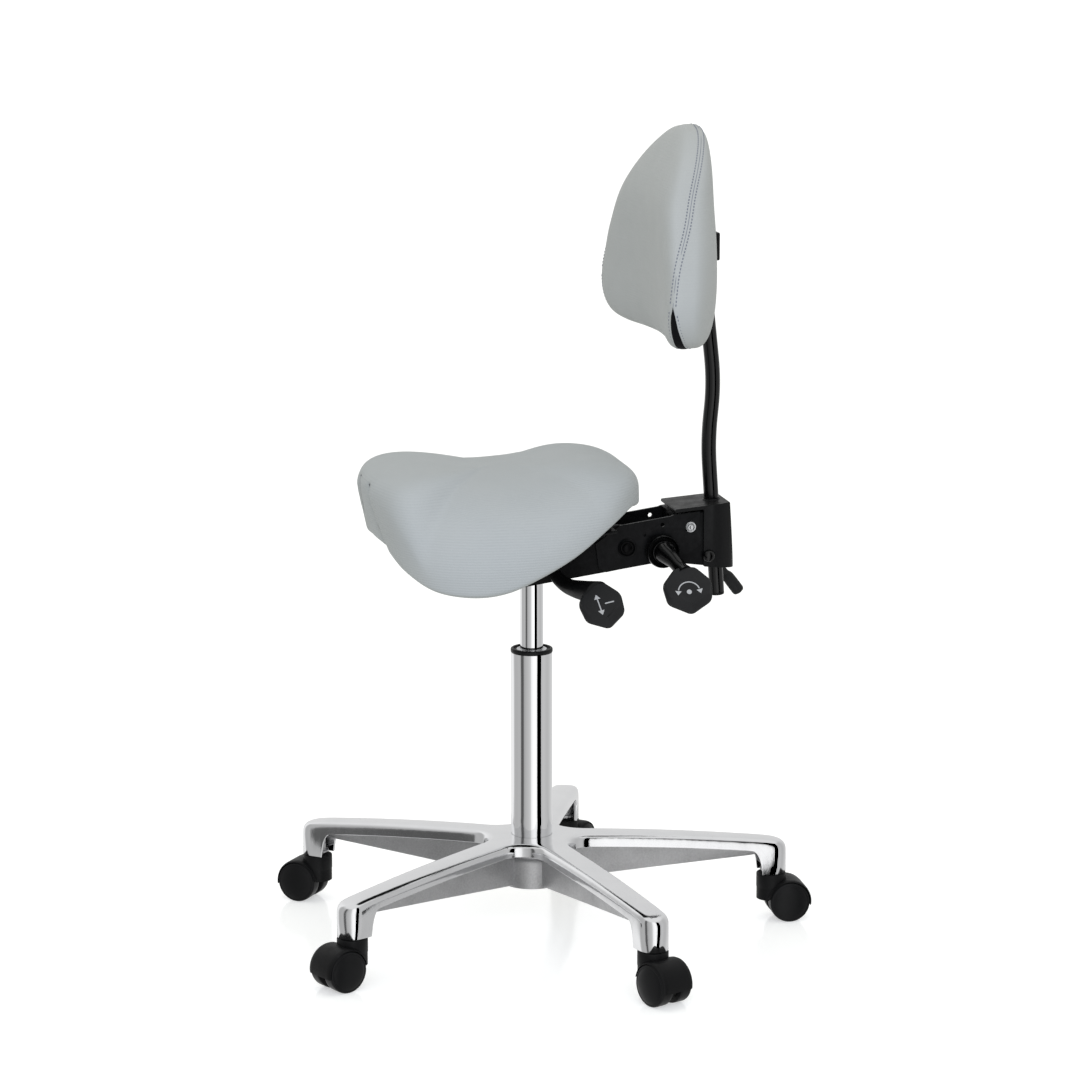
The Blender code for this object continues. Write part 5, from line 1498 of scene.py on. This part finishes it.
# Where the side seam and the dark insert's two edges lie: turn about the pad's middle, and
# the distance behind its mid surface.
SEAM_OFFSET = ((-0.262, -0.0161), (-0.20, -0.0155), (-0.06, -0.0125), (0.28, 0.0005),
               (0.60, 0.0045), (0.95, 0.0070), (1.60, 0.0085))
INSERT_FRONT = ((-1.60, 0.0), (-0.95, -0.0030), (-0.72, -0.0070), (-0.60, -0.0110),
                (-0.51, -0.0145), (-0.42, -0.0172), (-0.33, -0.0180), (-0.262, -0.0161))
INSERT_REAR = ((-1.60, 0.0060), (-0.95, 0.0040), (-0.72, 0.0012), (-0.51, -0.0035),
               (-0.385, -0.0090), (-0.315, -0.0125), (-0.262, -0.0161))
INSERT_TIP = -0.262


def pad_side_point(tree, rim, turn, side, offset):
    """Point on the pad's edge at a turn about its middle, offset from its mid surface."""
    aim = Vector((math.cos(turn), 0.0, math.sin(turn)))
    middle = Vector((0.0, 0.0, PAD_CENTRE_Z))
    edge = max(rim, key=lambda p: (p - middle).normalized().dot(aim) if p.x >= 0 else -2.0)
    half = table_value(PAD_HALF, edge.z) - PAD_THINNING * edge.x ** 2
    step = (1.0 - min(abs(offset) / half, 0.98) ** 4) ** 0.25
    place = middle + aim * (edge - middle).length * step
    depth = table_value(PAD_MIDDLE, place.z) - PAD_WRAP * place.x ** 2
    spot = Vector((place.x * side, depth + offset, place.z)) + COLUMN
    place, normal, _, _ = tree.find_nearest(spot)
    return place, normal


def line_on_pad(tree, rim, turns, side, offset_at):
    points, normals = [], []
    for turn in turns:
        place, normal = pad_side_point(tree, rim, turn, side, offset_at(turn))
        points.append(place)
        normals.append(normal)
    return evened(points), evened(normals)


INSERT_COLUMNS = 17
FAR_INSERT_BACK = 0.004       # the insert on the -X side sits this much further back


def insert_skin(tree, rim, turns, side):
    """Thin dark panel between the insert's two edges."""
    rings = []
    back = 0.0 if side > 0 else FAR_INSERT_BACK
    for turn in turns:
        front = table_value(INSERT_FRONT, turn) + back
        rear = table_value(INSERT_REAR, turn) + back
        outer, inner = [], []
        for k in range(INSERT_COLUMNS):
            share = k / (INSERT_COLUMNS - 1)
            place, normal = pad_side_point(tree, rim, turn, side,
                                           front + (rear - front) * share)
            lift = 0.0004 + 0.0004 * math.sin(math.pi * share)
            outer.append(place + normal * lift)
            inner.append(place - normal * 0.0012)
        rings.append(outer + inner[::-1])
    return loft(rings)


def add_pad_seams(pad):
    tree = tree_of(pad)
    rim = even_path([(x, 0.0, z) for x, z in PAD_OUTLINE], 400)
    body = BODY_OF["pad_front_cushion"]
    upper = [INSERT_TIP + (math.pi / 2.0 - INSERT_TIP) * k / 150.0 for k in range(151)]
    lower = [INSERT_TIP - (math.pi / 2.0 + INSERT_TIP) * k / 90.0 for k in range(91)]
    for side, name in ((1.0, "left"), (-1.0, "right")):
        points, normals = line_on_pad(tree, rim, upper, side,
                                      lambda t: table_value(SEAM_OFFSET, t))
        piece(f"back_seam_{name}", strip(points, normals, 0.00045, 0.00010), THREAD, body,
              SLOT["fabric"], at=Matrix.Identity(4))
        parts = []
        for row in (-0.0036, 0.0036):
            points, normals = line_on_pad(tree, rim, upper, side,
                                          lambda t, r=row: table_value(SEAM_OFFSET, t) + r)
            parts.append(stitch_line(points, normals, *STITCH))
        for table, row in ((INSERT_FRONT, -0.0029), (INSERT_REAR, 0.0029)):
            points, normals = line_on_pad(tree, rim, lower[2:], side,
                                          lambda t, r=row, f=table: table_value(f, t) + r)
            parts.append(stitch_line(points, normals, *STITCH))
        piece(f"back_stitches_{name}", merge(*parts), THREAD, body, SLOT["fabric"],
              at=Matrix.Identity(4))
        piece(f"back_insert_{name}", insert_skin(tree, rim, lower, side), INSERT, body,
              SLOT["fabric"], at=Matrix.Identity(4), sharp_deg=60.0)


def add_shell():
    """Black plastic pan under the seat."""
    rim = mirrored(even_path(SEAT_RIM, 65))
    steps = (0.0, 0.10, 0.22, 0.35, 0.48, 0.60, 0.70, 0.78, 0.85, 0.91, 0.95, 0.98, 1.0)
    outer = seat_rings(rim, steps, 0.812, 0.0615, 0.0005)
    inner = seat_rings(rim, steps, 0.776, 0.0675, 0.0005)
    lip = seat_rings(rim, (1.0,), 0.806, 0.0615, -0.0008)
    inner_lip = seat_rings(rim, (1.0,), 0.782, 0.0675, -0.0008)
    pan = loft(outer + lip + inner_lip + inner[::-1])
    lean = (Matrix.Translation((0.0, 0.0, 0.478))
            @ Matrix.Rotation(math.radians(8.0), 4, "X"))
    low = 0.0216
    pad = plate(0.072, -0.076, 0.088, 0.010, low, low + 0.014, 0.0015)
    post = plate(0.058, -0.050, 0.030, 0.008, low + 0.010, 0.0530, 0.0010)
    ribs = []
    for place in (-0.045, -0.015, 0.015, 0.045):
        left, right = place - 0.0012, place + 0.0012
        ribs.append(slab(((left, -0.074), (right, -0.074), (right, 0.086), (left, 0.086)),
                         low + 0.012, 0.0400, 0.0003))
    below = [moved(part, lean) for part in (pad, post, *ribs)]
    stand_in("seat_pan", merge(pan, *below), BLACK, SLOT["black"], "seat_shell",
             sharp_deg=40.0)


seat_cover = add_seat()
add_seat_seam_shadow(seat_cover)
back_cover = add_pad()
add_pad_seams(back_cover)
add_shell()

# ------------------------------------------------------------------ plain CAD nodes

PLAIN = {"polished_aluminium": ALUMINIUM, "chrome": CHROME, "zinc_steel": ZINC,
         "black_plastic": BLACK, "black_steel": STEEL, "black_tube": TUBE,
         "grey_upholstery": FABRIC, "plywood": STEEL}


def dress_cad_nodes():
    """Give every CAD node that still shows a finish, and softened edges to those that are not bolts or pins."""
    for node, obj in frame["nodes"].items():
        if obj.hide_render:
            continue
        source = obj.data.materials[0].name.split(".")[0]
        obj.data.materials[0] = STEEL if "seat_bolt" in node else PLAIN[source]
        if "bolt" not in node and "pin" not in node:
            round_edges(obj, 0.0006, 2)


dress_cad_nodes()
